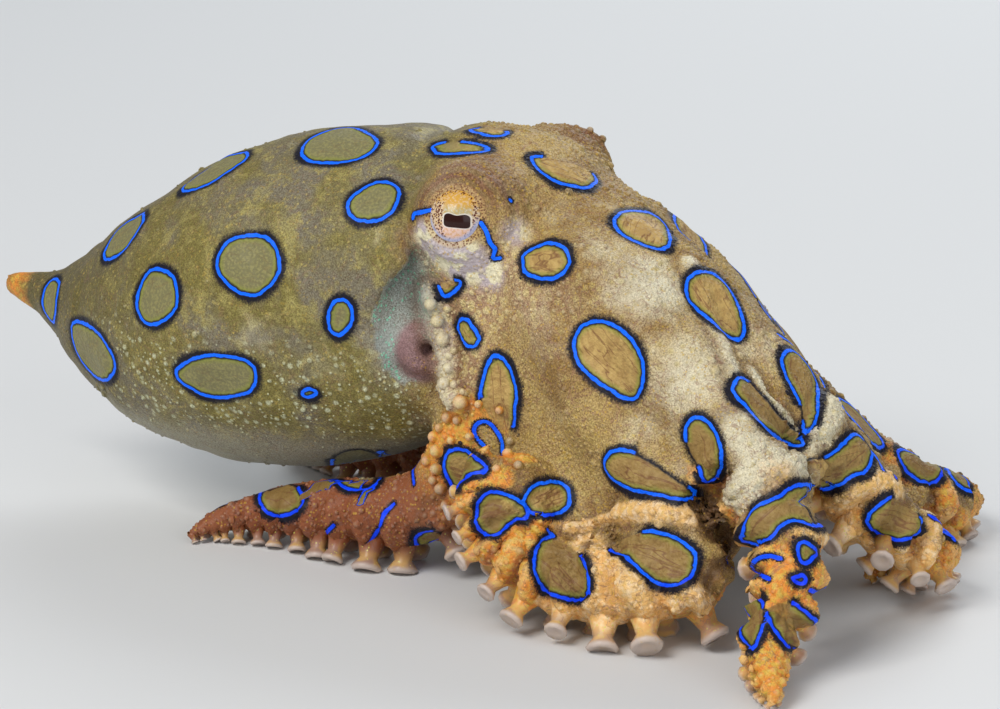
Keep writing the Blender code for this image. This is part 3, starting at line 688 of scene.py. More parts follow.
def arm_places(points):
    """For each point: nearest arm, share of its length, turn from its sucker side, depth in radii."""
    axis, oral, beside, radii = [], [], [], []
    for name in ARMS:
        path, facing, girth, along, length = arm_line(name)
        down = square_to(facing, along)
        axis.append(path)
        oral.append(down)
        beside.append(np.cross(along, down))
        radii.append(girth)
    axis, oral, beside = (np.vstack(rows) for rows in (axis, oral, beside))
    radii = np.concatenate(radii)
    nearest = np.empty(len(points), int)
    for start in range(0, len(points), PLACES_AT_ONCE):
        chunk = points[start:start + PLACES_AT_ONCE]
        gap = ((chunk[:, None, :] - axis[None]) ** 2).sum(axis=2)
        nearest[start:start + PLACES_AT_ONCE] = np.argmin(np.sqrt(gap) / np.maximum(radii, 1.5), axis=1)
    offset = points - axis[nearest]
    turn = np.arctan2((offset * beside[nearest]).sum(axis=1), (offset * oral[nearest]).sum(axis=1))
    depth = np.linalg.norm(offset, axis=1) / radii[nearest]
    return nearest // ARM_STEPS, (nearest % ARM_STEPS) / (ARM_STEPS - 1.0), turn, depth, radii[nearest]


def soft_step(values, low, high):
    """Zero below low, one above high, smooth between."""
    place = np.clip((np.asarray(values, float) - low) / (high - low), 0.0, 1.0)
    return place * place * (3.0 - 2.0 * place)


def mantle_depth(points):
    """Distance from the mantle's axis, one at its surface."""
    table = np.array(MANTLE_STATIONS)
    x = np.clip(points[:, 0], table[0, 0], table[-1, 0])
    height, half_height, half_width = (np.interp(x, table[:, 0], table[:, column]) for column in (1, 2, 3))
    return np.hypot(points[:, 1] / half_width, (points[:, 2] - height) / half_height)


def nearness(points, centre, reach):
    """One at a centre, falling smoothly to nothing at the reach."""
    distance = np.linalg.norm((points - np.asarray(centre)) / np.asarray(reach, float), axis=1)
    return 1.0 - soft_step(distance, 0.0, 1.0)


def gap_to(line):
    """Distance of each point of the skin to the nearest point of a line."""
    return np.sqrt(((points[:, None, :] - line[None]) ** 2).sum(axis=2).min(axis=1))


def wobble(points, size, seed=0.0):
    """Smooth noise between about -1 and 1, with lumps of the given size in millimetres."""
    shift = Vector((seed * 17.3, seed * 5.1, -seed * 9.7))
    return np.array([noise.noise(Vector(point) / size + shift) for point in points])


EYE_AXIS = unit((0.17, -0.93, 0.32))    # the way the right eye looks


def eye_side(side):
    """Centre and outward axis of one eye; side is -1 on the right and 1 on the left."""
    centre = EYE_CENTRE * [1.0, side, 1.0]
    return centre, EYE_AXIS * [1.0, -side, 1.0]


arm_index, arm_share, arm_turn, arm_depth, arm_radius = arm_places(points)
print("points nearest each arm:", np.bincount(arm_index).tolist())

# %% [markdown]
# ## Finer faces where the skin is finely folded
# A half-millimetre mesh is enough for the mantle, but not for the lids. Only
# the faces round the eyes and at a few gathered spots are split again, so the
# whole skin stays light.

# %% Split faces round the eyes and the gathers
EYE_DETAIL_REACH = 5.2
GATHER_DETAIL_REACH = 3.2
MISS_REACH = 45.0       # a ray past the skin is tried this far before and behind the animal
MISS_TRIES = 46


def split_faces(mesh, chosen):
    """Split every edge between two chosen points, and triangulate what results."""
    shape = bmesh.new()
    shape.from_mesh(mesh)
    shape.verts.ensure_lookup_table()
    inside = [edge for edge in shape.edges if chosen[edge.verts[0].index] and chosen[edge.verts[1].index]]
    bmesh.ops.subdivide_edges(shape, edges=inside, cuts=1, use_grid_fill=True)
    bmesh.ops.triangulate(shape, faces=[face for face in shape.faces if len(face.verts) > 4])
    shape.to_mesh(mesh)
    shape.free()


surface = skin_tree()


def cast(u, v):
    """Where a pixel's ray meets the skin, and the skin's direction there."""
    ray = pixel_ray(u, v)
    place, normal, face, distance = surface.ray_cast(Vector(eye_point), Vector(ray))
    if place is None:
        along = np.linspace(VIEW_DISTANCE - MISS_REACH, VIEW_DISTANCE + MISS_REACH, MISS_TRIES)
        tries = [surface.find_nearest(Vector(eye_point + ray * reach)) for reach in along]
        place, normal, face, distance = min(tries, key=lambda found: found[3])
    return np.array(place), np.array(normal)


GATHERS = [
    # u, v, depth in millimetres, reach in millimetres, folds round it
    (716, 496, 1.5, 6.5, 17),
    (803, 442, 1.2, 6.0, 15),
    (822, 492, 1.1, 4.0, 9),
    (590, 545, 1.0, 5.5, 15),
    (790, 606, 0.9, 3.6, 9),
    (524, 522, 0.7, 3.4, 9),
    (735, 536, 1.3, 4.5, 9),
]
gather_spots = [cast(u, v)[0] for u, v, depth, reach, folds in GATHERS]
chosen = np.zeros(len(points), bool)
for side in (-1.0, 1.0):
    chosen |= np.linalg.norm(points - eye_side(side)[0], axis=1) < EYE_DETAIL_REACH
for spot in gather_spots:
    chosen |= np.linalg.norm(points - spot, axis=1) < GATHER_DETAIL_REACH
split_faces(skin.data, chosen)
edges = read_edges(skin.data)
points = relax(read_points(skin.data), edges, 1)
write_points(skin.data, points)
arm_index, arm_share, arm_turn, arm_depth, arm_radius = arm_places(points)
triangles = sum(len(face.vertices) - 2 for face in skin.data.polygons)
print("skin after splitting:", len(points), "points,", triangles, "triangles")

# %% [markdown]
# ## Folds, pleats and lids
# The skin of a live octopus is never smooth. Soft lumps cover all of it. The
# skin is gathered into ringed folds round each eye, and along the arms it
# runs in pleats, one to each sucker, that begin on the side of the arm and
# end in the sucker's stalk. Each of these is a small move of the points along
# their normals, by a formula on the places found above.

# %% Sculpt the skin
LUMPS = ((7.0, 0.34), (3.0, 0.22), (1.5, 0.11))   # size and height of the soft lumps
PLEAT_HEIGHT = 0.62
RING_FOLD_PITCH = 1.05
RING_FOLD_HEIGHT = 0.17
SUCKER_PITCH = 0.47
SUCKER_START = 0.2
SUCKER_LAST = 0.985
SUCKER_LEAST_RADIUS = 1.05


def sucker_rhythm(name):
    """The share of the arm's length at which each sucker stands."""
    path, facing, radii, tangents, length = arm_line(name)
    shares = [SUCKER_START]
    while shares[-1] < SUCKER_LAST:
        radius = np.interp(shares[-1] * (ARM_STEPS - 1), np.arange(ARM_STEPS), radii)
        shares.append(shares[-1] + SUCKER_PITCH * max(radius, SUCKER_LEAST_RADIUS) / length)
    return np.array(shares)


def pleats():
    """Height of the pleats: a crest from each sucker up the side of the arm that it stands on."""
    height = np.zeros(len(points))
    for index, name in enumerate(ARMS):
        shares = sucker_rhythm(name)
        for row in (0, 1):
            ours = (arm_index == index) & ((arm_turn > 0) == (row == 1))
            stands = shares[row::2]
            count = np.interp(arm_share[ours], stands, np.arange(len(stands)))
            height[ours] = np.cos(2 * math.pi * count)
    turn = np.abs(arm_turn)
    band = soft_step(turn, 0.35, 0.8) * (1.0 - soft_step(turn, 1.7, 2.5))
    return height * band * soft_step(arm_share, 0.36, 0.56) * (arm_depth < 1.35)


write_points(skin.data, points)
normals = read_normals(skin.data)
calm = 1.0 - 0.75 * nearness(points, (-16.0, 0.0, 6.0), (26.0, 14.0, 10.0))
move = np.zeros(len(points))
for turn, (size, height) in enumerate(LUMPS):
    move += height * calm * wobble(points, size, turn + 1.0)
pleat_crests = pleats()
thin_tip = np.clip(arm_radius / 2.4, 0.3, 1.0)
move += PLEAT_HEIGHT * thin_tip * pleat_crests * (1.0 + 0.4 * wobble(points, 2.2, 5.0))

for side in (-1.0, 1.0):
    centre, axis = eye_side(side)
    offset = points - centre
    along = offset @ axis
    away = np.linalg.norm(offset - along[:, None] * axis, axis=1)
    above = 0.25 + 0.75 * soft_step(offset[:, 2], -1.5, 2.0)
    ring_band = soft_step(away, 2.7, 3.4) * (1.0 - soft_step(away, 5.5, 8.0)) * (along > -1.0)
    wave = np.sin(2 * math.pi * (away + 0.25 * wobble(points, 2.5, 9.0)) / RING_FOLD_PITCH)
    move += RING_FOLD_HEIGHT * above * ring_band * wave
    below = nearness(points, centre + [-0.5, -side * -2.0, -6.0], (6.0, 6.0, 4.0))
    move += 0.5 * below * np.abs(wobble(points, 1.9, 11.0))

points = points + normals * move[:, None]
FOLD_HEIGHT = 0.34
ODD_WAY = (0.31, 0.2, 0.93)     # in line with no direction that matters, to build a frame from


def gathered():
    """Depth of the gathered pits, and the folds that run out from them, at every point."""
    pits, folds_out = np.zeros(len(points)), np.zeros(len(points))
    for spot, (u, v, depth, reach, folds) in zip(gather_spots, GATHERS):
        offset = points - spot
        away = np.linalg.norm(offset, axis=1)
        near = away < 1.6 * reach
        normal = unit(normals[away < 1.2].mean(axis=0))
        first = unit(np.cross(normal, ODD_WAY))
        second = np.cross(normal, first)
        around = np.arctan2(offset @ second, offset @ first)[near]
        facing_out = np.clip(normals[near] @ normal, 0.0, 1.0)
        waver = 3.0 * wobble(points[near], 5.0, folds)
        fade = np.exp(-(away[near] / (0.75 * reach)) ** 2) * soft_step(away[near], 0.5, 1.6)
        pits[near] += depth * np.exp(-(away[near] / (0.34 * reach)) ** 2) * facing_out
        folds_out[near] += np.sin(folds * around + waver) * fade * facing_out
    return pits, folds_out


pits, folds_out = gathered()
points = points + normals * (FOLD_HEIGHT * folds_out - pits)[:, None]

# %% Ridges that end in the suckers
RIDGES = [
    # wash, half width and height in millimetres, and the pixels along the crest
    # the two clefts are sunk here, and later painted dark as shade
    ("cleft", 1.10, -1.30, [(704, 500), (716, 524), (730, 543), (737, 556)]),
    ("cleft", 0.90, -0.60, [(735, 552), (722, 566), (712, 580)]),
    ("lip", 0.95, 0.80, [(430, 298), (438, 319), (443, 340), (450, 362), (446, 386), (452, 400)]),
    ("peach", 1.15, 0.85, [(587, 549), (596, 560), (608, 579), (613, 599), (612, 618)]),
    ("peach", 1.00, 0.60, [(600, 555), (615, 570), (630, 586), (648, 603), (658, 614)]),
    ("orange", 0.95, 0.65, [(545, 517), (526, 529), (511, 544), (498, 553), (484, 558)]),
    ("orange", 0.90, 0.60, [(538, 526), (522, 549), (511, 562), (506, 578)]),
    ("orange", 0.80, 0.50, [(527, 565), (526, 584), (530, 602)]),
    ("peach", 0.75, 0.50, [(545, 602), (548, 614), (548, 626)]),
    ("peach", 0.75, 0.50, [(567, 608), (570, 620)]),
    ("peach", 0.75, 0.50, [(588, 602), (588, 618)]),
    ("peach", 0.85, 0.55, [(688, 586), (696, 596), (704, 606)]),
    ("peach", 0.80, 0.50, [(668, 592), (676, 606)]),
    ("peach", 0.70, 0.65, [(618, 514), (636, 511), (656, 511), (694, 518)]),
    ("peach", 0.34, 0.45, [(552, 522), (568, 526), (584, 526), (602, 520), (616, 515)]),
    ("orange", 1.00, 0.60, [(441, 520), (458, 510), (467, 494), (482, 483), (498, 480)]),
    ("cream", 1.60, 0.60, [(742, 441), (761, 454), (787, 463), (809, 470)]),
    ("cream", 1.10, 0.50, [(755, 454), (741, 482), (722, 513)]),
    ("cream", 1.00, 0.50, [(765, 463), (750, 489), (731, 524)]),
    ("cream", 1.10, 0.50, [(834, 404), (828, 426), (808, 447)]),
    ("peach", 1.10, 0.55, [(894, 484), (876, 486), (854, 498), (833, 516)]),
    ("peach", 0.80, 0.50, [(848, 508), (848, 528), (848, 544)]),
    ("peach", 0.80, 0.40, [(804, 534), (826, 538)]),
    ("peach", 0.90, 0.50, [(931, 521), (928, 543), (926, 562)]),
    ("orange", 0.90, 0.50, [(938, 473), (946, 495), (957, 522)]),
    ("peach", 0.75, 0.45, [(866, 541), (866, 558)]),
    ("peach", 0.75, 0.45, [(903, 547), (901, 566)]),
    ("cream", 0.70, 0.35, [(690, 262), (716, 330), (742, 392)]),
    ("cream", 0.60, 0.30, [(752, 372), (774, 404), (796, 434)]),
]
RIDGE_GROOVE = 0.35     # depth of the groove beside a ridge, as a share of its height
ridge_lines = []
write_points(skin.data, points)
surface = skin_tree()
normals = read_normals(skin.data)
lift = np.zeros(len(points))
for wash, half_width, height, pixels in RIDGES:
    line = smooth_path([cast(u, v)[0] for u, v in pixels], 24)
    ridge_lines.append(line)
    gap = gap_to(line) / half_width
    rise = height * (np.exp(-gap ** 2) - RIDGE_GROOVE * np.exp(-((gap - 1.9) / 0.6) ** 2))
    lift = np.where(np.abs(rise) > np.abs(lift), rise, lift)
points = points + normals * (lift * (1.0 + 0.45 * wobble(points, 1.0, 14.0)))[:, None]
print("ridges:", len(RIDGES))

# %% Lids
LID_OPENING = 2.2      # radius of the opening between the lids
LID_HEIGHT = 1.56       # how far the lids' edge stands out from the eye's centre, just proud of the eye
LID_SLOPE = 0.42        # how steeply the skin falls away from that edge
LID_REACH = 4.6         # where it has joined the folds around
LID_SNAP = 0.17         # points this near the opening's edge are moved onto it
LID_SUNK = 0.6          # how far the skin inside the opening lies under the eye's surface
for side in (-1.0, 1.0):
    centre, axis = eye_side(side)
    offset = points - centre
    along = offset @ axis
    across = offset - along[:, None] * axis
    away = np.linalg.norm(across, axis=1)
    in_front = (along > 0.0) & (np.linalg.norm(offset, axis=1) < 6.0)
    settled = LID_HEIGHT - LID_SLOPE * np.maximum(away - LID_OPENING, 0.0)
    hold = in_front * (1.0 - soft_step(away, LID_OPENING + 0.2, LID_REACH))
    points = points + (hold * (settled - along))[:, None] * axis
    along = along + hold * (settled - along)
    offset = points - centre
    edge = in_front & (np.abs(away - LID_OPENING) < LID_SNAP)
    rolled = centre + (LID_HEIGHT - 0.06) * axis + across * (LID_OPENING / np.maximum(away, 0.1))[:, None]
    points = np.where(edge[:, None], rolled, points)
    inside = in_front & (away <= LID_OPENING - LID_SNAP)
    sunk = centre + unit(offset + 1e-9) * (EYE_RADIUS - LID_SUNK)
    points = np.where(inside[:, None], sunk, points)

points[:, 2] = np.maximum(points[:, 2], 0.02)
write_points(skin.data, points)
print("sculpted, box:", points.min(axis=0).round(1), points.max(axis=0).round(1))

# %% [markdown]
# ## The blue rings
# Each ring is an outline, set out as the camera sees it and cast onto the
# skin, so it sits on the body from any side. Round ones are ellipses given by
# their middle, half widths and tilt. The odd ones, gathered or broken by the
# folds, have a few outline points each. Some rings lack a stretch of their
# blue line, and the list says between which points.

# %% Outlines of the rings
ROUND_RINGS = [
    # u, v, half length, half width, tilt in degrees clockwise
    (339, 146, 38, 17, -8), (374, 202, 27, 18, -26), (249, 264, 31, 30, 0), (157, 297, 28, 20, 102),
    (218, 376, 40, 21, 4), (93, 351, 33, 15, 58), (340, 317, 18, 12, 100), (309, 393, 7, 4, 0),
]
DRAWN_RINGS = {
    # outline points, then the stretches between points where the blue line is missing; a stretch
    # stays black unless a third number says that it fades to nothing
    "over the eye": ([(433, 146), (435, 151), (442, 154), (466, 153), (487, 151), (487, 147), (478, 144),
        (464, 142), (445, 142)], [(7, 8, 0.0)]),
    "brow": ([(469, 130), (479, 133), (492, 136), (506, 135), (506, 131), (494, 129),
        (480, 128)], [(4, 6, 0.0)]),
    "between the eyes": ([(531, 158), (541, 156), (558, 160), (579, 165), (591, 172), (596, 181), (587, 188),
        (573, 186), (559, 183), (547, 176), (537, 168)], [(1, 4, 0.0)]),
    "cheek": ([(523, 263), (524, 254), (538, 246), (551, 243), (563, 247), (568, 255), (569, 265), (559, 276),
        (546, 279), (531, 276), (524, 271)], []),
    "crown": ([(614, 221), (619, 214), (628, 211), (647, 212), (660, 219), (668, 230), (670, 243), (664, 249),
        (652, 248), (639, 243), (628, 238), (618, 230)], []),
    "shoulder": ([(686, 285), (693, 274), (708, 272), (722, 280), (734, 296), (742, 316), (744, 332),
        (738, 340), (727, 335), (713, 322), (699, 311), (689, 300)], []),
    "web middle": ([(574, 346), (580, 328), (597, 321), (615, 326), (630, 338), (641, 358), (643, 380),
        (637, 396), (627, 399), (612, 391), (595, 380), (580, 365)], []),
    "funnel side": ([(439, 285), (441, 292), (446, 296), (455, 291), (460, 283), (455, 280),
        (446, 281)], [(5, 7, 0.0)]),
    "web edge": ([(458, 326), (462, 319), (468, 321), (475, 330), (479, 339), (475, 346), (468, 346),
        (462, 339)], []),
    "web edge low": ([(481, 402), (482, 384), (486, 369), (491, 358), (497, 355), (505, 361), (511, 372),
        (516, 390), (515, 410), (513, 427), (498, 430)], [(9, 11, 0.0)]),
    "left leaf": ([(604, 464), (608, 454), (618, 450), (630, 451), (648, 461), (669, 475), (688, 487),
        (698, 494), (691, 499), (672, 498), (655, 494), (632, 490), (616, 482), (607, 473)], [(3, 6)]),
    "upright leaf": ([(685, 429), (691, 419), (700, 417), (710, 425), (719, 441), (722, 460), (718, 475),
        (710, 482), (703, 480), (699, 468), (691, 455), (686, 442)], [(9, 11)]),
    "long leaf": ([(733, 387), (739, 378), (747, 380), (761, 394), (781, 417), (799, 435), (803, 445),
        (789, 444), (774, 435), (759, 421), (744, 404), (735, 395)], [(2, 5)]),
    "high leaf": ([(782, 358), (789, 350), (798, 354), (809, 367), (817, 384), (818, 404), (816, 420),
        (806, 434), (803, 424), (801, 405), (793, 390), (785, 374)], [(8, 9)]),
    "outer fan": ([(807, 461), (826, 457), (842, 445), (853, 435), (861, 437), (872, 452), (870, 463),
        (865, 472), (852, 476), (840, 485), (820, 489), (811, 478)], [(0, 1), (4, 5), (10, 12, 0.0)]),
    "wavy band": ([(740, 541), (748, 517), (760, 504), (779, 497), (789, 489), (802, 485), (815, 487),
        (820, 504), (824, 523), (814, 526), (803, 522), (790, 521), (779, 528), (770, 538),
        (755, 542)], [(6, 8)]),
    "big outer": ([(892, 497), (878, 506), (868, 516), (869, 526), (881, 535), (899, 540), (914, 536),
        (921, 527), (920, 516), (908, 506)], [(8, 10, 0.0)]),
    "knee leaf": ([(609, 548), (626, 557), (641, 571), (657, 583), (675, 585), (689, 578), (694, 568),
        (695, 554), (683, 542), (665, 534), (645, 531), (624, 538)], [(10, 12, 0.2)]),
    "knee cup": ([(553, 536), (541, 541), (535, 554), (535, 570), (543, 588), (559, 597), (577, 600),
        (587, 594), (588, 576), (581, 556), (567, 543)], [(9, 11, 0.0)]),
    "left fan": ([(483, 496), (493, 492), (506, 494), (520, 502), (527, 509), (526, 518), (514, 521),
        (497, 534), (484, 534), (477, 526), (477, 507)], []),
    "right of fan": ([(524, 500), (532, 487), (547, 482), (561, 483), (569, 492), (569, 505), (561, 512),
        (547, 515), (534, 513), (527, 509)], []),
    "lumpy": ([(444, 470), (445, 458), (451, 450), (464, 450), (474, 457), (486, 466), (484, 473), (473, 473),
        (463, 480), (454, 488), (449, 480)], []),
    "tip left": ([(763, 606), (759, 599), (749, 601), (741, 609), (737, 620), (739, 632), (746, 643),
        (753, 649), (758, 640), (762, 627)], [(9, 10)]),
    "tip right": ([(766, 610), (774, 629), (788, 646), (796, 648), (804, 640), (816, 631), (818, 624),
        (812, 617), (801, 609), (792, 603), (776, 603)], [(3, 5, 0.0), (9, 11, 0.0)]),
    "tip triangle": ([(798, 546), (804, 542), (813, 547), (817, 554), (806, 563), (800, 559)], []),
    "tip dot": ([(793, 579), (800, 584), (806, 580), (803, 575), (797, 577)], []),
    "rear high": ([(332, 462), (344, 452), (364, 450), (380, 458), (382, 472), (374, 486), (354, 490),
        (338, 482)], [(0, 3)]),
    "rear low": ([(262, 491), (280, 484), (298, 488), (302, 504), (288, 515), (270, 514),
        (260, 503)], [(0, 2)]),
    "rear small": ([(416, 537), (430, 531), (444, 536), (443, 548), (430, 553), (419, 548)], [(1, 3)]),
}
STREAKS = {
    "eye rear": [(413, 218), (414, 214), (422, 212), (431, 210)],
    "eye front": [(481, 223), (487, 233), (490, 243), (495, 249), (493, 258), (500, 258)],
    "arch": [(484, 446), (476, 437), (474, 428), (480, 422), (489, 423), (497, 432), (502, 443), (502, 455)],
    "curl hook": [(781, 559), (770, 556), (757, 559), (752, 567), (757, 573), (769, 579)],
    "curl line": [(810, 590), (824, 596), (831, 603), (842, 601)],
    "curl edge": [(837, 587), (842, 580)],
    "outer sliver": [(872, 452), (879, 461), (883, 470)],
    "outer streak": [(929, 515), (940, 522), (948, 532), (955, 540)],
    "outer dot": [(895, 476), (896, 478)],
    "skyline dot": [(853, 395), (859, 391)],
    "cup tip": [(548, 530), (553, 536)],
    "cheek dot": [(510, 200), (511, 201)],
    "rear line": [(364, 549), (377, 532), (384, 514), (394, 504)],
    "rear dash": [(318, 541), (334, 525)],
    "rear arc": [(414, 484), (413, 470), (419, 459)],
}
print(len(ROUND_RINGS) + len(DRAWN_RINGS), "rings seen by the camera,", len(STREAKS), "streaks")

# %% [markdown]
# The camera sees half of the animal. Rings that lie over the skyline, and all
# those on the far side, are given by a place on the skin and a size in
# millimetres. The left side of head and mantle mirrors the right with some
# chance in it, since no octopus is quite symmetrical, and a short rule sets
# smaller and smaller rings down the arms that are out of sight.

# %% Rings in millimetres
LOOP_POINTS = 72
LIMB_JUMP = 9.0       # in depth from the camera, millimetres
BLACK_ONLY = 0.5      # between 1, a blue line with its halo, and 0, neither
BARE_END = 0.15       # a bare stretch keeps this far from its two outline points
MIRROR = np.array([1.0, -1.0, 1.0])
TOP_HINT = (0.0, 1.0, 0.3)
CREST_RINGS = [
    # u, v of a point on the skin, half length, half width, tilt, shift away over the crest
    (212, 172, 3.7, 2.3, -28, 0.4), (123, 238, 3.1, 2.2, -30, 0.3), (50, 300, 2.4, 1.5, 80, 0.0),
]
TOP_RINGS = [
    # x, y seen from above, half length, half width, turn in degrees
    (-38.0, 3.0, 2.6, 2.0, 20), (-27.0, 5.5, 3.2, 2.4, 0), (-12.0, 4.5, 3.4, 2.6, 10),
    (17.0, 1.5, 2.6, 2.0, 30), (14.5, 9.0, 2.8, 2.0, 60), (24.0, 1.0, 2.9, 1.8, 10),
    (31.0, 0.5, 2.4, 1.5, 0), (-3.0, 4.2, 2.4, 1.8, 0), (22.5, 12.0, 2.8, 2.2, 50),
    (12.0, 15.0, 2.8, 2.0, 70), (-20.0, 8.6, 2.6, 2.1, 0), (3.0, 15.6, 2.2, 1.7, 90),
]
ARM_RINGS = {
    # arm: first and last share that carry rings by rule
    "left_1": (0.34, 0.97), "left_2": (0.36, 0.97), "left_3": (0.38, 0.97), "left_4": (0.34, 0.97),
    "right_1": (0.80, 0.98), "right_4": (0.70, 0.96),
}
surface = skin_tree()
luck = np.random.default_rng(8)


def smooth_loop(outline, count):
    """A closed curve through outline points, and the outline index of each of its points."""
    knots = np.asarray(outline, float)
    place = np.linspace(0.0, len(knots), count, endpoint=False)
    step = place.astype(int)
    before, start, after, further = (np.roll(knots, shift, axis=0)[step] for shift in (1, 0, -1, -2))
    t = (place - step)[:, None]
    curve = 0.5 * (2 * start + (after - before) * t + (2 * before - 5 * start + 4 * after - further) * t ** 2
                   + (3 * start - before - 3 * after + further) * t ** 3)
    return curve, place


def oval(middle, half_length, half_width, tilt, count=LOOP_POINTS):
    """An ellipse, slightly uneven as the rings are."""
    angle = np.linspace(0.0, 2 * math.pi, count, endpoint=False)
    uneven = 1.0 + 0.035 * np.sin(3 * angle + middle[0]) + 0.02 * np.sin(5 * angle + middle[1])
    long_way = half_length * uneven * np.cos(angle)
    short_way = half_width * uneven * np.sin(angle)
    turn = math.radians(tilt)
    return np.column_stack([middle[0] + long_way * math.cos(turn) - short_way * math.sin(turn),
                            middle[1] + long_way * math.sin(turn) + short_way * math.cos(turn)])


def split_hits(hits):
    """Places and directions, each as one array, from a list of hits on the skin."""
    return np.array([hit[0] for hit in hits]), np.array([hit[1] for hit in hits])


def snapped(loop):
    """A loop's points moved onto the skin, with the skin's directions there."""
    return split_hits([surface.find_nearest(Vector(point)) for point in loop])


def ring_from(loop, directions, drawn=None):
    """What painting needs to know of one ring."""
    middle = loop.mean(axis=0)
    long_way, short_way = np.linalg.svd(loop - middle, full_matrices=False)[2][:2]
    return dict(loop=loop, long_way=long_way, short_way=short_way, normals=directions, middle=middle,
                normal=unit(directions.mean(axis=0)), reach=np.linalg.norm(loop - middle, axis=1).max(),
                drawn=np.ones(len(loop)) if drawn is None else drawn)


def ring_on_skin(place, direction, half_length, half_width, tilt, up_hint=(0.0, 0.0, 1.0)):
    """A ring of a real size round a point of the skin."""
    direction = unit(direction)
    upward = square_to(np.asarray(up_hint, float) + [0.01, 0.0, 0.0], direction)
    flat = oval((0.0, 0.0), half_length, half_width, tilt)
    return ring_from(*snapped(place + flat[:, :1] * np.cross(upward, direction) - flat[:, 1:] * upward))


def add_if_clear(ring, room):
    """Keep a ring where it stays clear of all the others."""
    if all(np.linalg.norm(ring["middle"] - other["middle"]) > ring["reach"] + other["reach"] + room
           for other in rings):
        rings.append(ring)


def cast_line(pixels):
    """A line of pixels cast onto the skin; where it would jump to another limb it keeps to this one's edge."""
    hits = [cast(*pixel) for pixel in pixels]
    depths = [np.linalg.norm(place - eye_point) for place, normal in hits]
    usual = np.median(depths)
    for index, (pixel, depth) in enumerate(zip(pixels, depths)):
        if abs(depth - usual) > LIMB_JUMP:
            hits[index] = surface.find_nearest(Vector(eye_point + pixel_ray(*pixel) * usual))
    return split_hits(hits)


rings = [ring_from(*cast_line(oval((u, v), *shape))) for u, v, *shape in ROUND_RINGS]
for outline, bare in DRAWN_RINGS.values():
    curve, place = smooth_loop(outline, LOOP_POINTS)
    drawn = np.ones(LOOP_POINTS)
    for first, last, *level in bare:
        drawn[(place > first + BARE_END) & (place < last - BARE_END)] = level[0] if level else BLACK_ONLY
    drawn = (drawn + np.roll(drawn, 1) + np.roll(drawn, -1)) / 3.0
    rings.append(ring_from(*cast_line(curve), drawn))
for u, v, half_length, half_width, tilt, over in CREST_RINGS:
    place, direction = cast(u, v)
    upward = square_to(view_up, direction)
    rings.append(ring_on_skin(place + upward * over, direction, half_length, half_width, tilt, view_up))
for ring in list(rings):
    x, y, z = ring["middle"]
    on_flank = y < -2.5 and z > 19.0 and x < 22.0 and mantle_depth(ring["middle"][None])[0] < 1.6
    if on_flank and ring["reach"] > 0.9:
        shift = np.array([luck.uniform(-1.6, 1.6), 0.0, luck.uniform(-1.2, 1.2)])
        mirrored = ring["middle"] * MIRROR + (ring["loop"] - ring["middle"]) * MIRROR * luck.uniform(0.9, 1.1)
        add_if_clear(ring_from(*snapped(mirrored + shift), ring["drawn"]), 0.3)
for x, y, half_length, half_width, turn in TOP_RINGS:
    place, direction = (np.array(found) for found in surface.ray_cast(Vector((x, y, 60.0)), Vector(DOWN))[:2])
    add_if_clear(ring_on_skin(place, direction, half_length, half_width, turn, TOP_HINT), 0.2)
for name, (share, last_share) in ARM_RINGS.items():
    path, facing, radii, tangents, length = arm_line(name)
    count = 0
    while share < last_share:
        index = int(share * (ARM_STEPS - 1))
        radius, along = radii[index], tangents[index]
        oral = square_to(facing[index], along)
        lean = 0.62 * (1 if count % 2 else -1) + luck.uniform(-0.2, 0.2)
        back = -oral * math.cos(lean) + np.cross(along, oral) * math.sin(lean)
        found = surface.find_nearest(Vector(path[index] + back * radius))
        place, direction = np.array(found[0]), np.array(found[1])
        size = radius * luck.uniform(0.62, 0.8)
        add_if_clear(ring_on_skin(place, direction, size * 1.15, size * 0.8, luck.uniform(-15, 15),
                                  np.cross(along, back)), 0.35)
        share += 1.5 * size / length
        count += 1
streaks = [cast_line(smooth_path([(u, v, 0.0) for u, v in line], 24)[:, :2])[0] for line in STREAKS.values()]
print("rings in all:", len(rings))

# %% [markdown]
# A line a third of a millimetre wide needs small faces only where it bends
# sharply. So the skin is split once more along the streaks and the smallest
# rings, and then every point of the skin learns its distance to the nearest
# ring: above zero inside, below zero outside. The paint is drawn from that
# distance.

# %% Distances to the rings
FINE_RING = 1.7     # rings smaller than this get finer faces, in millimetres
FINE_REACH = 0.8    # and so does the skin this near to their line
HALO_REACH = 2.4
FAR = 9.0           # the distance of points that no ring or streak is near
SAME_SIDE = 0.15    # how far the skin must face the way that the ring's line does
VEIN_STRETCH = 0.22
VEIN_SHIFT = 5.3    # from ring to ring, so that no two have the same veins


def tree_of_points(places):
    """A tree for nearest-point questions to a list of places."""
    tree = KDTree(len(places))
    for index, place in enumerate(places):
        tree.insert(place, index)
    tree.balance()
    return tree


fine_lines = tree_of_points(np.vstack(streaks + [ring["loop"] for ring in rings if ring["reach"] < FINE_RING]))
split_faces(skin.data, np.array([fine_lines.find(point)[2] < FINE_REACH for point in points]))
points = read_points(skin.data)
edges = read_edges(skin.data)
normals = read_normals(skin.data)
arm_index, arm_share, arm_turn, arm_depth, arm_radius = arm_places(points)


def segment_distances(places, starts, ends):
    """Distance of each place to the nearest of some segments, and which segment it is."""
    way = ends - starts
    offset = places[:, None, :] - starts[None]
    along = np.clip((offset * way).sum(axis=2) / np.maximum((way ** 2).sum(axis=1), 1e-9), 0.0, 1.0)
    gap = np.linalg.norm(offset - along[:, :, None] * way, axis=2)
    return gap.min(axis=1), gap.argmin(axis=1)


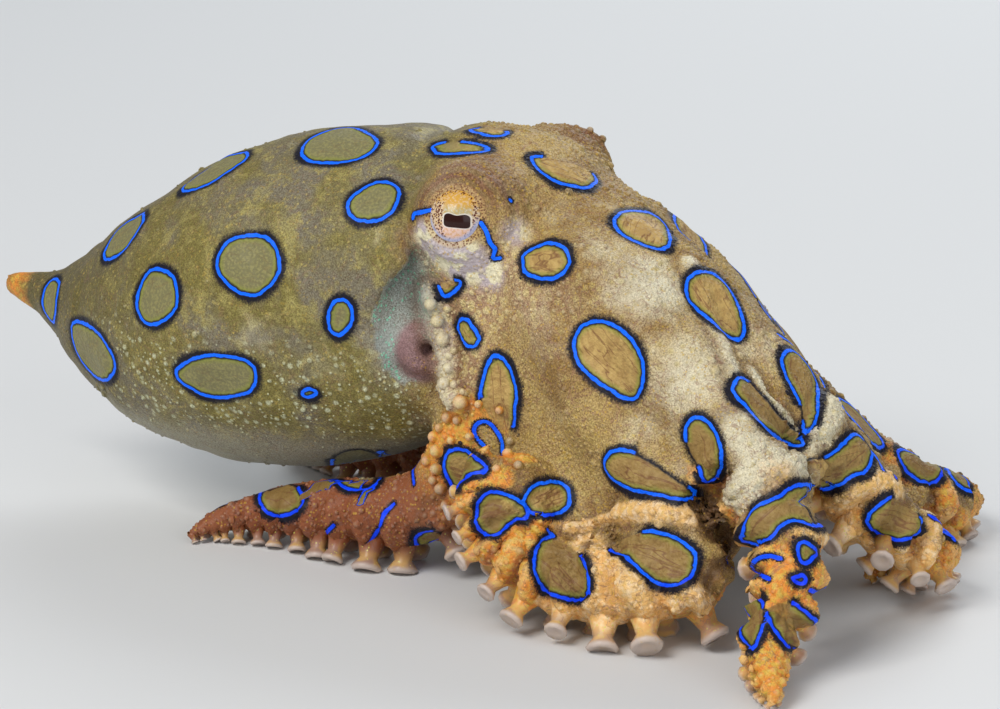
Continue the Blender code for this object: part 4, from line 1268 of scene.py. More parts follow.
def inside_loop(places, ring):
    """True for places inside a ring, seen along its direction."""
    first = unit(np.cross(ring["normal"], ODD_WAY))
    second = np.cross(ring["normal"], first)
    flat = np.column_stack([(ring["loop"] - ring["middle"]) @ first, (ring["loop"] - ring["middle"]) @ second])
    x, y = (places - ring["middle"]) @ first, (places - ring["middle"]) @ second
    inside = np.zeros(len(places), bool)
    for (x1, y1), (x2, y2) in zip(flat, np.roll(flat, -1, axis=0)):
        inside ^= ((y1 > y) != (y2 > y)) & (x < (x2 - x1) * (y - y1) / (y2 - y1 + 1e-12) + x1)
    return inside


ring_distance = np.full(len(points), -FAR)
ring_line = np.ones(len(points))
vein_place = np.zeros((len(points), 3))
for number, ring in enumerate(rings):
    near = np.where(np.linalg.norm(points - ring["middle"], axis=1) < ring["reach"] + HALO_REACH)[0]
    gap, segment = segment_distances(points[near], ring["loop"], np.roll(ring["loop"], -1, axis=0))
    inside = inside_loop(points[near], ring) & (normals[near] @ ring["normal"] > 0.0)
    agrees = (normals[near] * ring["normals"][segment]).sum(axis=1) > SAME_SIDE
    signed = np.where(inside, gap, -gap)
    ours = (inside | agrees) & (signed > ring_distance[near])
    ring_distance[near[ours]] = signed[ours]
    ring_line[near[ours]] = ring["drawn"][segment[ours]]
    offset = points[near[ours]] - ring["middle"]
    vein_place[near[ours]] = np.column_stack([
        offset @ ring["short_way"], VEIN_STRETCH * (offset @ ring["long_way"]),
        np.full(len(offset), VEIN_SHIFT * number)])
streak_distance = np.full(len(points), FAR)
for line in streaks:
    near = np.where(np.linalg.norm(points - line.mean(axis=0), axis=1) < 3.0 + np.ptp(line, axis=0).max())[0]
    gap = segment_distances(points[near], line[:-1], line[1:])[0]
    streak_distance[near] = np.minimum(streak_distance[near], gap)
print("skin points inside rings:", int((ring_distance > 0).sum()), "and in all:", len(points))

# %% [markdown]
# ## Where each colour lies
# The skin's colours follow the body, so each becomes a number from zero to one
# on every point of the skin: mantle, belly, the grey neck behind the mantle's
# edge, the funnel, the pale wash down the middle of the web, the lilac under
# the eye and the orange of the lower arms. Free spots of colour are given by the
# pixel they show at and how far they reach over the skin. Some masks carry
# painted light and shade: pits, clefts and the grooves beside the ridges are
# painted dark as shade, the rear arms under the mantle darker, and the cream
# spots on the mantle are a painted highlight.

# %% Masks on the skin
SPOTS = {
    # wash: (u, v, reach in millimetres, strength)
    "brow": [(470, 178, 7, 1.0), (480, 160, 5, 0.9), (505, 185, 6, 0.6), (425, 205, 5, 0.8), (540, 205, 4, 0.4),
        (412, 240, 4, 0.7)],
    "cream": [(648, 285, 8, 0.9), (600, 246, 6, 0.5), (560, 214, 5, 0.4), (690, 372, 9, 0.8),
        (735, 425, 6, 0.8), (752, 470, 5, 0.9), (760, 345, 6, 0.6), (455, 262, 5, 0.9), (425, 246, 4, 0.6),
        (600, 512, 5, 0.3), (640, 514, 5, 0.45), (685, 520, 5, 0.4), (530, 300, 5, 0.3), (840, 420, 5, 0.5),
        # from (380, 240) on, the cream spots lie on the mantle and are a painted highlight where most light
        # falls
        (560, 420, 6, 0.3), (700, 440, 5, 0.4), (650, 420, 7, 0.5), (380, 240, 5, 0.5), (300, 270, 7, 0.3),
        (385, 345, 6, 0.75), (330, 370, 6, 0.55), (255, 335, 5, 0.6), (400, 290, 4, 0.4)],
    "blobs": [(462, 262, 4, 1.0), (440, 254, 4, 1.0), (488, 272, 3, 0.8), (425, 240, 3, 0.9),
        (515, 232, 3, 0.5)],
    "cobbles": [(480, 300, 6, 1.0), (450, 320, 5, 1.0), (520, 295, 5, 0.7), (440, 285, 4, 1.0),
        (470, 350, 5, 0.8), (505, 262, 4, 0.8), (465, 385, 4, 0.8), (560, 300, 4, 0.4), (620, 180, 6, 0.5),
        (770, 350, 5, 0.3)],
    "lilac": [(470, 268, 4, 0.6), (505, 285, 5, 0.15), (450, 170, 5, 0.5), (500, 175, 4, 0.4),
        (380, 265, 5, 0.4), (300, 290, 6, 0.4), (270, 180, 7, 0.4), (200, 240, 6, 0.35), (545, 330, 7, 0.2),
        (620, 270, 4, 0.1), (905, 440, 4, 0.7), (945, 520, 4, 0.5), (690, 470, 3, 0.4)],
    "orange": [(455, 430, 4, 1.0), (470, 408, 3, 0.8), (515, 455, 3, 1.0), (430, 450, 4, 1.0),
        (465, 495, 3, 1.0), (448, 520, 4, 1.0), (480, 558, 4, 1.0), (510, 575, 4, 1.0), (500, 545, 3, 0.8),
        (530, 615, 5, 0.9), (595, 560, 2.4, 0.9), (606, 590, 3, 0.8), (625, 612, 4, 0.7), (770, 540, 4, 0.6),
        (835, 560, 4, 1.0), (790, 590, 8, 1.0), (780, 660, 7, 1.0), (745, 590, 4, 0.8), (900, 560, 5, 0.7),
        (925, 470, 4, 0.8), (950, 545, 5, 0.7), (870, 430, 3, 0.4), (893, 450, 3.5, 0.65),
        (907, 470, 3.5, 0.65), (445, 486, 3, 1.0), (500, 420, 3, 0.6), (590, 150, 3, 0.2)],
    "peach": [(610, 600, 4, 0.8), (713, 574, 3, 0.7), (520, 550, 4, 0.35), (575, 622, 4, 0.6),
        (690, 600, 4, 0.7), (700, 520, 3, 0.4), (780, 480, 4, 0.6), (745, 520, 3, 0.5), (870, 500, 3, 0.4),
        (930, 545, 4, 0.6)],
}
REAR_ARMS = ("right_4", "left_4")


def spots(wash):
    """One wash's spots on the skin, the strongest where they overlap."""
    value = np.zeros(len(points))
    for u, v, reach, strength in SPOTS[wash]:
        value = np.maximum(value, strength * nearness(points, cast(u, v)[0], (reach, reach, reach)))
    return value


def crests(wash):
    """How near each point is to the crest of a ridge with this wash."""
    value = np.zeros(len(points))
    for (kind, half_width, height, pixels), line in zip(RIDGES, ridge_lines):
        if kind == wash:
            gap = np.maximum(gap_to(line) - 0.6 * abs(height), 0.0)
            value = np.maximum(value, np.exp(-(gap / half_width) ** 2))
    return value


def grooves():
    """How near each point is to the groove beside a ridge, where shade is painted."""
    value = np.zeros(len(points))
    for (kind, half_width, height, pixels), line in zip(RIDGES, ridge_lines):
        if height > 0.0:
            value = np.maximum(value, np.exp(-((gap_to(line) / half_width - 1.9) / 0.5) ** 2))
    for kind in ("peach", "orange", "cream", "lip"):
        value *= 1.0 - crests(kind)
    return value


in_mantle = (1.0 - soft_step(mantle_depth(points), 1.12, 1.3)) * (1.0 - soft_step(points[:, 0], -5.0, 0.5))
in_mantle *= 1.0 - (points[:, 2] < 7.5) * (arm_depth < 1.3)
belly = in_mantle * (1.0 - soft_step(points[:, 2], 7.5, 14.0))
cavity = in_mantle * (1.0 - soft_step(mantle_depth(points), 0.86, 0.93)) * (points[:, 0] > -14.0)
neck = soft_step(points[:, 0], -10.0, -7.5) * (1.0 - soft_step(points[:, 0], -3.5, 0.5)) * (points[:, 2] < 31.0)
neck = np.maximum(neck * (mantle_depth(points) < 0.95) * (points[:, 2] > 13.0), cavity)
funnel_gap = gap_to(smooth_path(SIPHON_ROUTE, 30))
funnel = (1.0 - soft_step(funnel_gap, 2.5, 3.2)) * (1.0 - crests("lip"))
on_arm = (arm_depth < 1.45) * (1.0 - in_mantle)
# the rear arms under the mantle are orange, and are also painted darker there as shade
rear = np.zeros(len(points))
for name in REAR_ARMS:
    rear = np.maximum(rear, (arm_index == list(ARMS).index(name)) * on_arm * soft_step(arm_share, 0.3, 0.45))
side_turn = np.abs(arm_turn)
skirt = on_arm * (1.0 - soft_step(side_turn, 1.1, 1.75)) * soft_step(arm_share, 0.4, 0.55)
tip = on_arm * soft_step(arm_share, 0.62, 0.85)
orange = np.clip(np.maximum.reduce([spots("orange"), 0.85 * skirt, 0.7 * tip, 0.8 * rear]), 0.0, 1.0)
tail = 1.0 - soft_step(points[:, 0], -51.0, -48.5)
orange = np.maximum.reduce([orange * (1.0 - in_mantle), 0.5 * tail, 0.9 * crests("orange")])
oral = on_arm * (1.0 - soft_step(side_turn, 0.5, 0.85)) * soft_step(arm_share, 0.1, 0.2)
under = soft_step(-read_normals(skin.data)[:, 2], 0.15, 0.6) * (1.0 - in_mantle)
cream = np.maximum(spots("cream"), 0.35 * (points[:, 1] > 3.0) * soft_step(points[:, 0], 6.0, 12.0)
                   * (wobble(points, 8.0, 3.0) > 0.0))
cream = np.maximum.reduce([cream, crests("cream"), crests("lip")])
granules = in_mantle * soft_step(points[:, 2], 8.0, 13.0) * (1.0 - soft_step(points[:, 2], 17.0, 23.0))
granules *= soft_step(points[:, 0], -42.0, -30.0) * (1.0 - cavity)
brow = spots("brow")
aft = in_mantle * (1.0 - soft_step(points[:, 0], -46.0, -24.0))
limb = on_arm * soft_step(arm_share, 0.2, 0.4)
# by now the skin of the deepest pits lies too far from their middles to tell a direction
folds_out = np.nan_to_num(gathered()[1])
# painted shade: the pits of the gathers and the clefts are painted dark
pit = np.zeros(len(points))
for spot in gather_spots:
    pit = np.maximum(pit, nearness(points, spot, (2.2, 2.2, 2.2)))
pit = np.maximum(pit, 0.95 * crests("cleft"))
eye_gap = np.full(len(points), 30.0)
for side in (-1.0, 1.0):
    centre, axis = eye_side(side)
    offset = points - centre
    away = np.linalg.norm(offset - (offset @ axis)[:, None] * axis, axis=1)
    eye_gap = np.where(offset @ axis > -2.0, np.minimum(eye_gap, away), eye_gap)
    brow = np.maximum(brow, 0.8 * nearness(points, centre + [2.0, side * -1.0, 3.5], (7.0, 6.0, 4.5)))
MASKS = {
    "ring": np.clip(ring_distance, -3.0, 3.0), "ring_line": ring_line,
    "streak": np.clip(streak_distance, 0.0, 3.0), "mantle": in_mantle, "belly": belly, "neck": neck,
    "funnel": funnel, "orange": orange, "rear": rear, "cream": cream, "lilac": spots("lilac"),
    "peach": np.maximum(spots("peach"), crests("peach")), "granules": granules, "oral": oral,
    "pleat": pleats(), "eye_gap": np.clip(eye_gap, 0.0, 12.0), "brow": brow, "pit": pit,
    "blobs": spots("blobs"), "cobbles": spots("cobbles"), "folds": folds_out, "grooves": grooves(),
    "vein_place": vein_place, "aft": aft, "limb": limb,
}
for label, values in MASKS.items():
    add_attribute(skin.data, label, values)
print("masks:", {label: round(float(values.mean()), 2) for label, values in MASKS.items()})

# %% [markdown]
# ## Suckers
# Two rows of suckers run along the underside of every arm, from inside the
# web to the tip. Each is a little stalk with a waist and a wide cupped rim,
# and each rim is its own size and leans its own way. One sucker is turned as
# a lathe form of few faces, as the warts will be later. A Geometry Nodes tree
# then stands a copy at every point of a small cloud, turned along that
# point's own direction.

# %% One sucker, turned on a lathe
SUCKER_SIDES = 10
SUCKER_PROFILE = [
    # height and radius, in arm radii, from the root to the inside of the cup
    (-0.22, 0.46), (0.12, 0.31), (0.43, 0.225), (0.58, 0.32), (0.68, 0.385), (0.775, 0.33), (0.71, 0.18),
    (0.67, 0.0),
]
RIM_FRILL = 0.06     # how far from round a rim is
RIM_FOOT = 0.5       # the height at which the rim begins


def turned(name, sides, profile, frill=0.0, foot=False):
    """A lathe form along +Z from heights and radii, the last one its middle; a foot closes its root."""
    shape = bmesh.new()
    rings = []
    for height, radius in profile[:-1]:
        ring = []
        for side in range(sides):
            angle = 2 * math.pi * side / sides
            reach = radius * (1.0 + frill * math.cos(2 * angle) * (height > RIM_FOOT))
            ring.append(shape.verts.new((reach * math.cos(angle), reach * math.sin(angle), height)))
        rings.append(ring)
    middle = shape.verts.new((0.0, 0.0, profile[-1][0]))
    neighbours = [(side, (side + 1) % sides) for side in range(sides)]
    for low, high in zip(rings, rings[1:]):
        for side, beside in neighbours:
            shape.faces.new((low[side], low[beside], high[beside], high[side]))
    for side, beside in neighbours:
        shape.faces.new((rings[-1][side], rings[-1][beside], middle))
    if foot:
        shape.faces.new(list(reversed(rings[0])))
    mesh = mesh_from(shape, name)
    mesh.polygons.foreach_set("use_smooth", [True] * len(mesh.polygons))
    return mesh


sucker_mesh = turned("sucker_pattern", SUCKER_SIDES, SUCKER_PROFILE, RIM_FRILL, foot=True)
print("one sucker:", len(sucker_mesh.polygons), "faces")

# %% [markdown]
# The places are worked out along the arms' own lines, in the rhythm of the
# pleats. A sucker is left out where its rim would stand inside other flesh.

# %% Where the suckers stand
SUCKER_SPREAD = 31.0       # degrees from the middle of the arm's underside
SPREAD_CHANCE = 6.0
TILT_CHANCE = 0.14
SIZE_CHANCE = (0.88, 1.12)
SUCKER_SMALLEST = 0.85
SUCKER_SUNK = 0.1
RIM_HEIGHT = 0.74
RIM_ROOM = 0.42
LAST_SHARE = 0.99
LAST_SUCKER = {"right_3": 0.92}     # its tip is curled away under the web's edge
chance = np.random.default_rng(20)
surface = skin_tree()


def sucker_roots():
    """Root, direction and size of every sucker."""
    roots, directions, sizes = [], [], []
    for name in ARMS:
        path, facing, radii, tangents, length = arm_line(name)
        for count, share in enumerate(sucker_rhythm(name)):
            here = min(share, LAST_SHARE) * (ARM_STEPS - 1)
            low = int(here)
            radius = radii[low]
            centre = path[low] + (path[low + 1] - path[low]) * (here - low)
            oral = square_to(facing[low], tangents[low])
            spread = SUCKER_SPREAD + chance.uniform(-SPREAD_CHANCE, SPREAD_CHANCE)
            lean = math.radians(spread) * (1 if count % 2 else -1)
            tilt = tangents[low] * chance.uniform(-TILT_CHANCE, TILT_CHANCE)
            outward = unit(oral * math.cos(lean) + np.cross(tangents[low], oral) * math.sin(lean) + tilt)
            if share > LAST_SUCKER.get(name, 1.0):
                continue
            size = max(SUCKER_SMALLEST, radius) * chance.uniform(*SIZE_CHANCE)
            above = Vector(centre + outward * radius * 2.0)
            place, *rest = surface.ray_cast(above, Vector(-outward), float(radius) * 2.0)
            if place is None:
                continue
            rim = np.array(place) + outward * RIM_HEIGHT * size
            nearest, normal, face, distance = surface.find_nearest(Vector(rim))
            buried = np.dot(rim - np.array(nearest), np.array(normal)) < 0.0
            if buried or distance < RIM_ROOM * size:
                continue
            roots.append(np.array(place) - outward * SUCKER_SUNK * size)
            directions.append(outward)
            sizes.append(size)
    return np.array(roots), np.array(directions), np.array(sizes)


roots, directions, sizes = sucker_roots()
print("suckers:", len(roots))

# %% [markdown]
# ## One tree that stands copies on points
# Suckers, warts and papillae are all small forms that stand on the skin along
# a direction, at a size of their own. One Geometry Nodes tree serves all
# three. Its inputs are the pattern, the overall scale and the material, and it
# reads `outward` and `size` from the points. It ends in Realize Instances and
# Set Material, since only real faces can be exported. The helper takes a list
# of nodes and a list of links, so that a tree can be read as a table.

# %% The tree
def geometry_tree(name, inputs, nodes, links):
    """A Geometry Nodes tree from its inputs, its nodes with their settings, and its links."""
    tree = bpy.data.node_groups.new(name, "GeometryNodeTree")
    for label, kind in {"Geometry": "Geometry", **inputs}.items():
        tree.interface.new_socket(label, in_out="INPUT", socket_type="NodeSocket" + kind)
    tree.interface.new_socket("Geometry", in_out="OUTPUT", socket_type="NodeSocketGeometry")
    made = {"start": tree.nodes.new("NodeGroupInput"), "end": tree.nodes.new("NodeGroupOutput")}
    for label, (kind, settings, values) in nodes.items():
        made[label] = tree.nodes.new(kind)
        for setting, value in settings.items():
            setattr(made[label], setting, value)
        for socket, value in values.items():
            made[label].inputs[socket].default_value = value
    for source, output, target, entry in links:
        tree.links.new(made[source].outputs[output], made[target].inputs[entry])
    return tree


def run_tree(thing, tree, values):
    """Give an object a tree, set the tree's inputs by their identifiers, and make the result plain."""
    modifier = thing.modifiers.new(tree.name, "NODES")
    modifier.node_group = tree
    for item in tree.interface.items_tree:
        if item.in_out == "INPUT" and item.name in values:
            modifier[item.identifier] = values[item.name]
    baked(thing)


NAMED_VALUE = "GeometryNodeInputNamedAttribute"
stand_on_points = geometry_tree(
    "stand on points", {"Pattern": "Object", "Scale": "Float", "Material": "Material"},
    {"points": ("GeometryNodeMeshToPoints", {}, {}),
     "pattern": ("GeometryNodeObjectInfo", {}, {}),
     "outward": (NAMED_VALUE, {"data_type": "FLOAT_VECTOR"}, {"Name": "outward"}),
     "size": (NAMED_VALUE, {"data_type": "FLOAT"}, {"Name": "size"}),
     "align": ("FunctionNodeAlignRotationToVector", {"axis": "Z"}, {}),
     "twist": ("FunctionNodeRandomValue", {}, {2: 0.0, 3: 2 * math.pi, "Seed": 7}),
     "spin": ("FunctionNodeAxisAngleToRotation", {}, {"Axis": (0.0, 0.0, 1.0)}),
     "turn": ("FunctionNodeRotateRotation", {"rotation_space": "LOCAL"}, {}),
     "grow": ("ShaderNodeMath", {"operation": "MULTIPLY"}, {}),
     "stand": ("GeometryNodeInstanceOnPoints", {}, {}),
     "realize": ("GeometryNodeRealizeInstances", {}, {}),
     "paint": ("GeometryNodeSetMaterial", {}, {})},
    [("start", "Geometry", "points", "Mesh"), ("start", "Pattern", "pattern", "Object"),
     ("outward", "Attribute", "align", "Vector"), ("twist", 1, "spin", "Angle"),
     ("align", "Rotation", "turn", "Rotation"), ("spin", "Rotation", "turn", "Rotate By"),
     ("size", "Attribute", "grow", 0), ("start", "Scale", "grow", 1),
     ("points", "Points", "stand", "Points"), ("pattern", "Geometry", "stand", "Instance"),
     ("turn", "Rotation", "stand", "Rotation"), ("grow", "Value", "stand", "Scale"),
     ("stand", "Instances", "realize", "Geometry"), ("realize", "Geometry", "paint", "Geometry"),
     ("start", "Material", "paint", "Material"), ("paint", "Geometry", "end", "Geometry")])


def stand_copies(name, pattern_mesh, places, outward, size, material, carried):
    """A piece made of copies of a pattern that stand on points of the skin."""
    cloud = bpy.data.meshes.new(name)
    cloud.from_pydata(to_frame(places).tolist(), [], [])
    for label, values in {"outward": outward, "size": size, **carried}.items():
        add_attribute(cloud, label, values)
    piece = new_object(name, cloud)
    pattern = new_object(name + "_pattern", pattern_mesh)
    run_tree(piece, stand_on_points, {"Pattern": pattern, "Scale": MM, "Material": material})
    bpy.data.objects.remove(pattern)
    return piece


print("tree nodes:", len(stand_on_points.nodes))

# %% [markdown]
# ## Warts
# Head, web and arms are grainy all over with warts of half a millimetre. They
# break the outline, so they are real domes of a few faces each. Geometry
# Nodes strews points over the skin, thick or thin by a number that each point
# of the skin carries, and the tree above stands a dome on each.
#
# Warts and suckers are also given a map of their own. Each one is a tiny
# patch on an unwrap of the whole skin, at the place where it stands.

# %% An unwrap of the skin
UNWRAP_ANGLE = math.radians(66.0)
UNWRAP_MARGIN = 0.001

for thing in bpy.context.scene.objects:
    thing.select_set(thing == skin)
bpy.context.view_layer.objects.active = skin
bpy.ops.object.mode_set(mode="EDIT")
bpy.ops.mesh.select_all(action="SELECT")
bpy.ops.uv.smart_project(angle_limit=UNWRAP_ANGLE, island_margin=UNWRAP_MARGIN)
bpy.ops.object.mode_set(mode="OBJECT")
unwrap = np.zeros((len(skin.data.vertices), 3))
layer = skin.data.uv_layers.active
unwrap[read_column(skin.data.loops, "vertex_index", 1, np.int32), :2] = read_column(layer.uv, "vector", 2)
skin.data.uv_layers.remove(layer)
print("unwrap from", unwrap.min(axis=0).round(2), "to", unwrap.max(axis=0).round(2))

# %% What a small form takes from the skin under it
PATCH = 0.003         # width of one small form's patch on the map
PATCH_FILL = 1.9      # how far a patch's rim keeps inside the patch
PATCH_TAPER = 0.45    # how much smaller the form's top is drawn on its patch than its foot
BAKE_MAP = "OFBake"
skin_points = tree_of_points(points)


def carried_from_skin(places):
    """Every mask, and the place on the unwrap, of the skin's nearest point."""
    nearest = np.array([skin_points.find(place)[1] for place in places])
    return {**{label: values[nearest] for label, values in MASKS.items()}, "root_map": unwrap[nearest]}


def add_pattern_values(mesh, height):
    """Store how high each point of a pattern lies, and its place on the pattern's own patch."""
    reach = max(max(abs(vertex.co.x), abs(vertex.co.y)) for vertex in mesh.vertices)
    add_attribute(mesh, "rise", [vertex.co.z / height for vertex in mesh.vertices])
    wide = 0.5 / (reach * PATCH_FILL)
    add_attribute(mesh, "patch", [((1.0 - PATCH_TAPER * vertex.co.z / height) * vertex.co.x * wide,
                                   (1.0 - PATCH_TAPER * vertex.co.z / height) * vertex.co.y * wide, 0.0)
                                  for vertex in mesh.vertices])


def lay_map(piece):
    """Give a piece its map, from where each copy stands and the copy's own patch."""
    mesh = piece.data
    root, patch = (read_column(mesh.attributes[label].data, "vector", 3) for label in ("root_map", "patch"))
    place = (root + patch * PATCH)[read_column(mesh.loops, "vertex_index", 1, np.int32), :2]
    bake_map = mesh.uv_layers.new(name=BAKE_MAP)
    bake_map.uv.foreach_set("vector", np.clip(place, 0.0, 1.0).astype(np.float32).ravel())
    for label in ("root_map", "patch", "outward", "size"):
        mesh.attributes.remove(mesh.attributes[label])


print("carried from the skin:", len(MASKS) + 1, "values")

# %% How warty the skin is
open_skin = np.clip(1.0 - neck - funnel - oral - 0.6 * under, 0.0, 1.0) * soft_step(eye_gap, 2.6, 4.6)
open_skin *= (ring_distance < -0.75) * (streak_distance > 0.6) * (1.0 - soft_step(pit, 0.2, 0.6))
skyline = soft_step(points[:, 2], 24.0, 33.0) + soft_step(points[:, 1], 0.0, 6.0)
knobby = on_arm * soft_step(arm_share, 0.25, 0.5) + 0.5 * skyline + spots("orange") + spots("cobbles")
knobby = np.clip(knobby, 0.0, 1.0)
clusters = 0.30 * granules * (wobble(points, 4.5, 21.0) > 0.05)
off_mantle = np.clip(1.0 - in_mantle + 0.5 * granules * (1.0 - belly), 0.04, 1.0)
wartiness = {
    # small warts nearly everywhere, few on the mantle; large ones on arms, crown and frills
    "small": open_skin * off_mantle * (1.0 - 0.45 * MASKS["peach"]),
    "large": open_skin * np.maximum((1.0 - 0.97 * in_mantle) * (0.05 + 0.95 * knobby), clusters),
}
print("warty shares:", {label: round(float(values.mean()), 2) for label, values in wartiness.items()})

# %% Strew points over the skin
WARTS = {
    # least spacing in millimetres, points tried on each square millimetre, radius and what chance adds, seed
    "small": (0.42, 5.0, 0.14, 0.11, 11),
    "large": (0.85, 1.6, 0.26, 0.24, 12),
}
strew_over_skin = geometry_tree(
    "strew over skin", {"Spacing": "Float", "Density": "Float", "Seed": "Int"},
    {"thick": (NAMED_VALUE, {"data_type": "FLOAT"}, {"Name": "warty"}),
     "strew": ("GeometryNodeDistributePointsOnFaces", {"distribute_method": "POISSON"}, {}),
     "keep": ("GeometryNodeStoreNamedAttribute", {"data_type": "FLOAT_VECTOR", "domain": "POINT"},
              {"Name": "outward"}),
     "vertices": ("GeometryNodePointsToVertices", {}, {})},
    [("start", "Geometry", "strew", "Mesh"), ("start", "Spacing", "strew", "Distance Min"),
     ("start", "Density", "strew", "Density Max"), ("thick", "Attribute", "strew", "Density Factor"),
     ("start", "Seed", "strew", "Seed"), ("strew", "Points", "keep", "Geometry"),
     ("strew", "Normal", "keep", "Value"), ("keep", "Geometry", "vertices", "Points"),
     ("vertices", "Mesh", "end", "Geometry")])


def strew(mask, spacing, density, seed):
    """Places and directions of points strewn over the skin, in body millimetres."""
    cloud = new_object("strewn", skin.data.copy())
    add_attribute(cloud.data, "warty", mask)
    run_tree(cloud, strew_over_skin, {"Spacing": spacing * MM, "Density": density / MM ** 2, "Seed": seed})
    places = read_points(cloud.data)
    outward = read_column(cloud.data.attributes["outward"].data, "vector", 3)
    bpy.data.objects.remove(cloud)
    return places, outward


strewn = {label: strew(wartiness[label], spacing, density, seed)
          for label, (spacing, density, radius, more, seed) in WARTS.items()}
print("warts strewn:", {label: len(places) for label, (places, outward) in strewn.items()})

# %% The domes that warts and papillae are
WART_PROFILE = [(-0.15, 1.0), (0.34, 0.64), (0.60, 0.0)]
PAPILLA_PROFILE = [(-0.35, 0.95), (0.15, 0.98), (0.55, 0.93), (0.92, 0.70), (1.14, 0.36), (1.2, 0.0)]
wart_mesh = turned("wart_pattern", 6, WART_PROFILE)
add_pattern_values(wart_mesh, WART_PROFILE[-1][0])
papilla_mesh = turned("papilla_pattern", 10, PAPILLA_PROFILE)
add_pattern_values(papilla_mesh, PAPILLA_PROFILE[-1][0])
print("one wart:", len(wart_mesh.polygons), "faces; one papilla:", len(papilla_mesh.polygons))

# %% [markdown]
# ## Painting with nodes
# The colours of an octopus come in layers: a pale ground, a net of tiny
# colour sacs that read as brown and golden dots, washes of orange and cream,
# and on top the rings. Each layer is a shader node group of its own, so that
# skin, warts and suckers can wear the same one. All of them read one `Place`,
# the object's own coordinates in millimetres.
#
# A small helper keeps the node code short: every method adds one node, links
# what it is given and returns its output.

# %% A board to build node trees on
class Board:
    """Short ways to add and link nodes in one tree."""

    def __init__(self, tree):
        self.tree = tree

    def add(self, kind, inputs=None, **settings):
        """A node with its settings made and its inputs fed, by name or by number."""
        node = self.tree.nodes.new(kind)
        for setting, value in settings.items():
            setattr(node, setting, value)
        for key, value in (inputs or {}).items():
            self.feed(node.inputs[key], value)
        return node

    def feed(self, socket, value):
        """Link a socket to an output, or give it a plain value."""
        if isinstance(value, bpy.types.NodeSocket):
            self.tree.links.new(value, socket)
        elif socket.type == "RGBA":
            socket.default_value = (*value, 1.0)
        else:
            socket.default_value = value

    def math(self, operation, first, second=0.0, clamp=False):
        node = self.add("ShaderNodeMath", {0: first, 1: second}, operation=operation, use_clamp=clamp)
        return node.outputs[0]

    def plus(self, first, second):
        return self.math("ADD", first, second)

    def minus(self, first, second):
        return self.math("SUBTRACT", first, second)

    def size_of(self, value):
        return self.math("ABSOLUTE", value)

    def times(self, *factors):
        """The product of several numbers."""
        result = factors[0]
        for factor in factors[1:]:
            result = self.math("MULTIPLY", result, factor)
        return result

    def step(self, value, low, high, first=0.0, last=1.0):
        """A smooth step from first to last as the value goes from low to high."""
        inputs = {"Value": value, "From Min": low, "From Max": high, "To Min": first, "To Max": last}
        return self.add("ShaderNodeMapRange", inputs, interpolation_type="SMOOTHSTEP").outputs["Result"]

    def fade(self, value, low, high):
        """One below low, zero above high."""
        return self.step(value, low, high, 1.0, 0.0)

    def band(self, value, middle, half_width, soft):
        """One within half_width of the middle, falling to zero over the soft edge."""
        return self.fade(self.size_of(self.minus(value, middle)), half_width - soft, half_width + soft)

    def shaken(self, noise, amount):
        """A noise as a number that swings about zero."""
        return self.times(self.minus(noise, 0.5), amount)

    def ragged(self, mask, noise, amount):
        """A mask whose edge a noise frays."""
        return self.plus(mask, self.shaken(noise, amount))

    def mix(self, factor, first, second, blend="MIX"):
        node = self.add("ShaderNodeMix", data_type="RGBA", blend_type=blend)
        for index, value in ((0, factor), (6, first), (7, second)):
            self.feed(node.inputs[index], value)
        return node.outputs[2]

    def layers(self, colour, *coats):
        """Coats laid over a colour, each given as (factor, colour)."""
        for factor, coat in coats:
            colour = self.mix(factor, colour, coat)
        return colour

    def noise(self, place, scale, detail=2.0, distortion=0.0):
        inputs = {"Vector": place, "Scale": scale, "Detail": detail, "Distortion": distortion}
        return self.add("ShaderNodeTexNoise", inputs).outputs["Fac"]

    def cells(self, place, scale):
        """Distance to the nearest of scattered points, and a random colour for each."""
        node = self.add("ShaderNodeTexVoronoi", {"Vector": place, "Scale": scale}, feature="F1")
        return node.outputs["Distance"], node.outputs["Color"]

    def part(self, colour, channel):
        """One channel of a colour, as a random number of a cell."""
        return self.add("ShaderNodeSeparateColor", {"Color": colour}).outputs[channel]

    def crumbs(self, cells, near, far, channel, low, high):
        """Soft dots on scattered points; a random number of each says how strong it is."""
        gap, luck = cells
        return self.times(self.fade(gap, near, far), self.step(self.part(luck, channel), low, high))

    def attribute(self, name, output="Fac"):
        return self.add("ShaderNodeAttribute", attribute_name=name).outputs[output]


def node_group(name, inputs, outputs, fill):
    """A shader group with named sockets; fill(board, inputs) gives the outputs."""
    kinds = {"number": "NodeSocketFloat", "colour": "NodeSocketColor", "vector": "NodeSocketVector"}
    tree = bpy.data.node_groups.new(name, "ShaderNodeTree")
    for way, sockets in (("INPUT", inputs), ("OUTPUT", outputs)):
        for label, kind in sockets.items():
            tree.interface.new_socket(label, in_out=way, socket_type=kinds[kind])
    board = Board(tree)
    start, end = board.add("NodeGroupInput"), board.add("NodeGroupOutput")
    for label, value in fill(board, start.outputs).items():
        board.feed(end.inputs[label], value)
    print(name + ":", len(tree.nodes), "nodes")
    return tree


def use_group(board, tree, inputs):
    """Place a group in a material, feed its inputs and return its outputs."""
    return board.add("ShaderNodeGroup", inputs, node_tree=tree).outputs


print("board ready")

# %% [markdown]
# ### Ground colours
# The ground is tan on the head and web, olive and grey-lilac on the mantle,
# pinkish on the belly, grey with green glints on the neck. Patches a few
# millimetres across keep any of them from being one flat colour. Each wash is
# laid where its mask on the skin says, with an edge that noise frays. Light and
# shade are painted too: painted shade in the pits, clefts and grooves, in the
# valleys of folds and pleats and on the rear arms, and a painted highlight on
# the crests of folds and pleats and in the cream on the mantle.

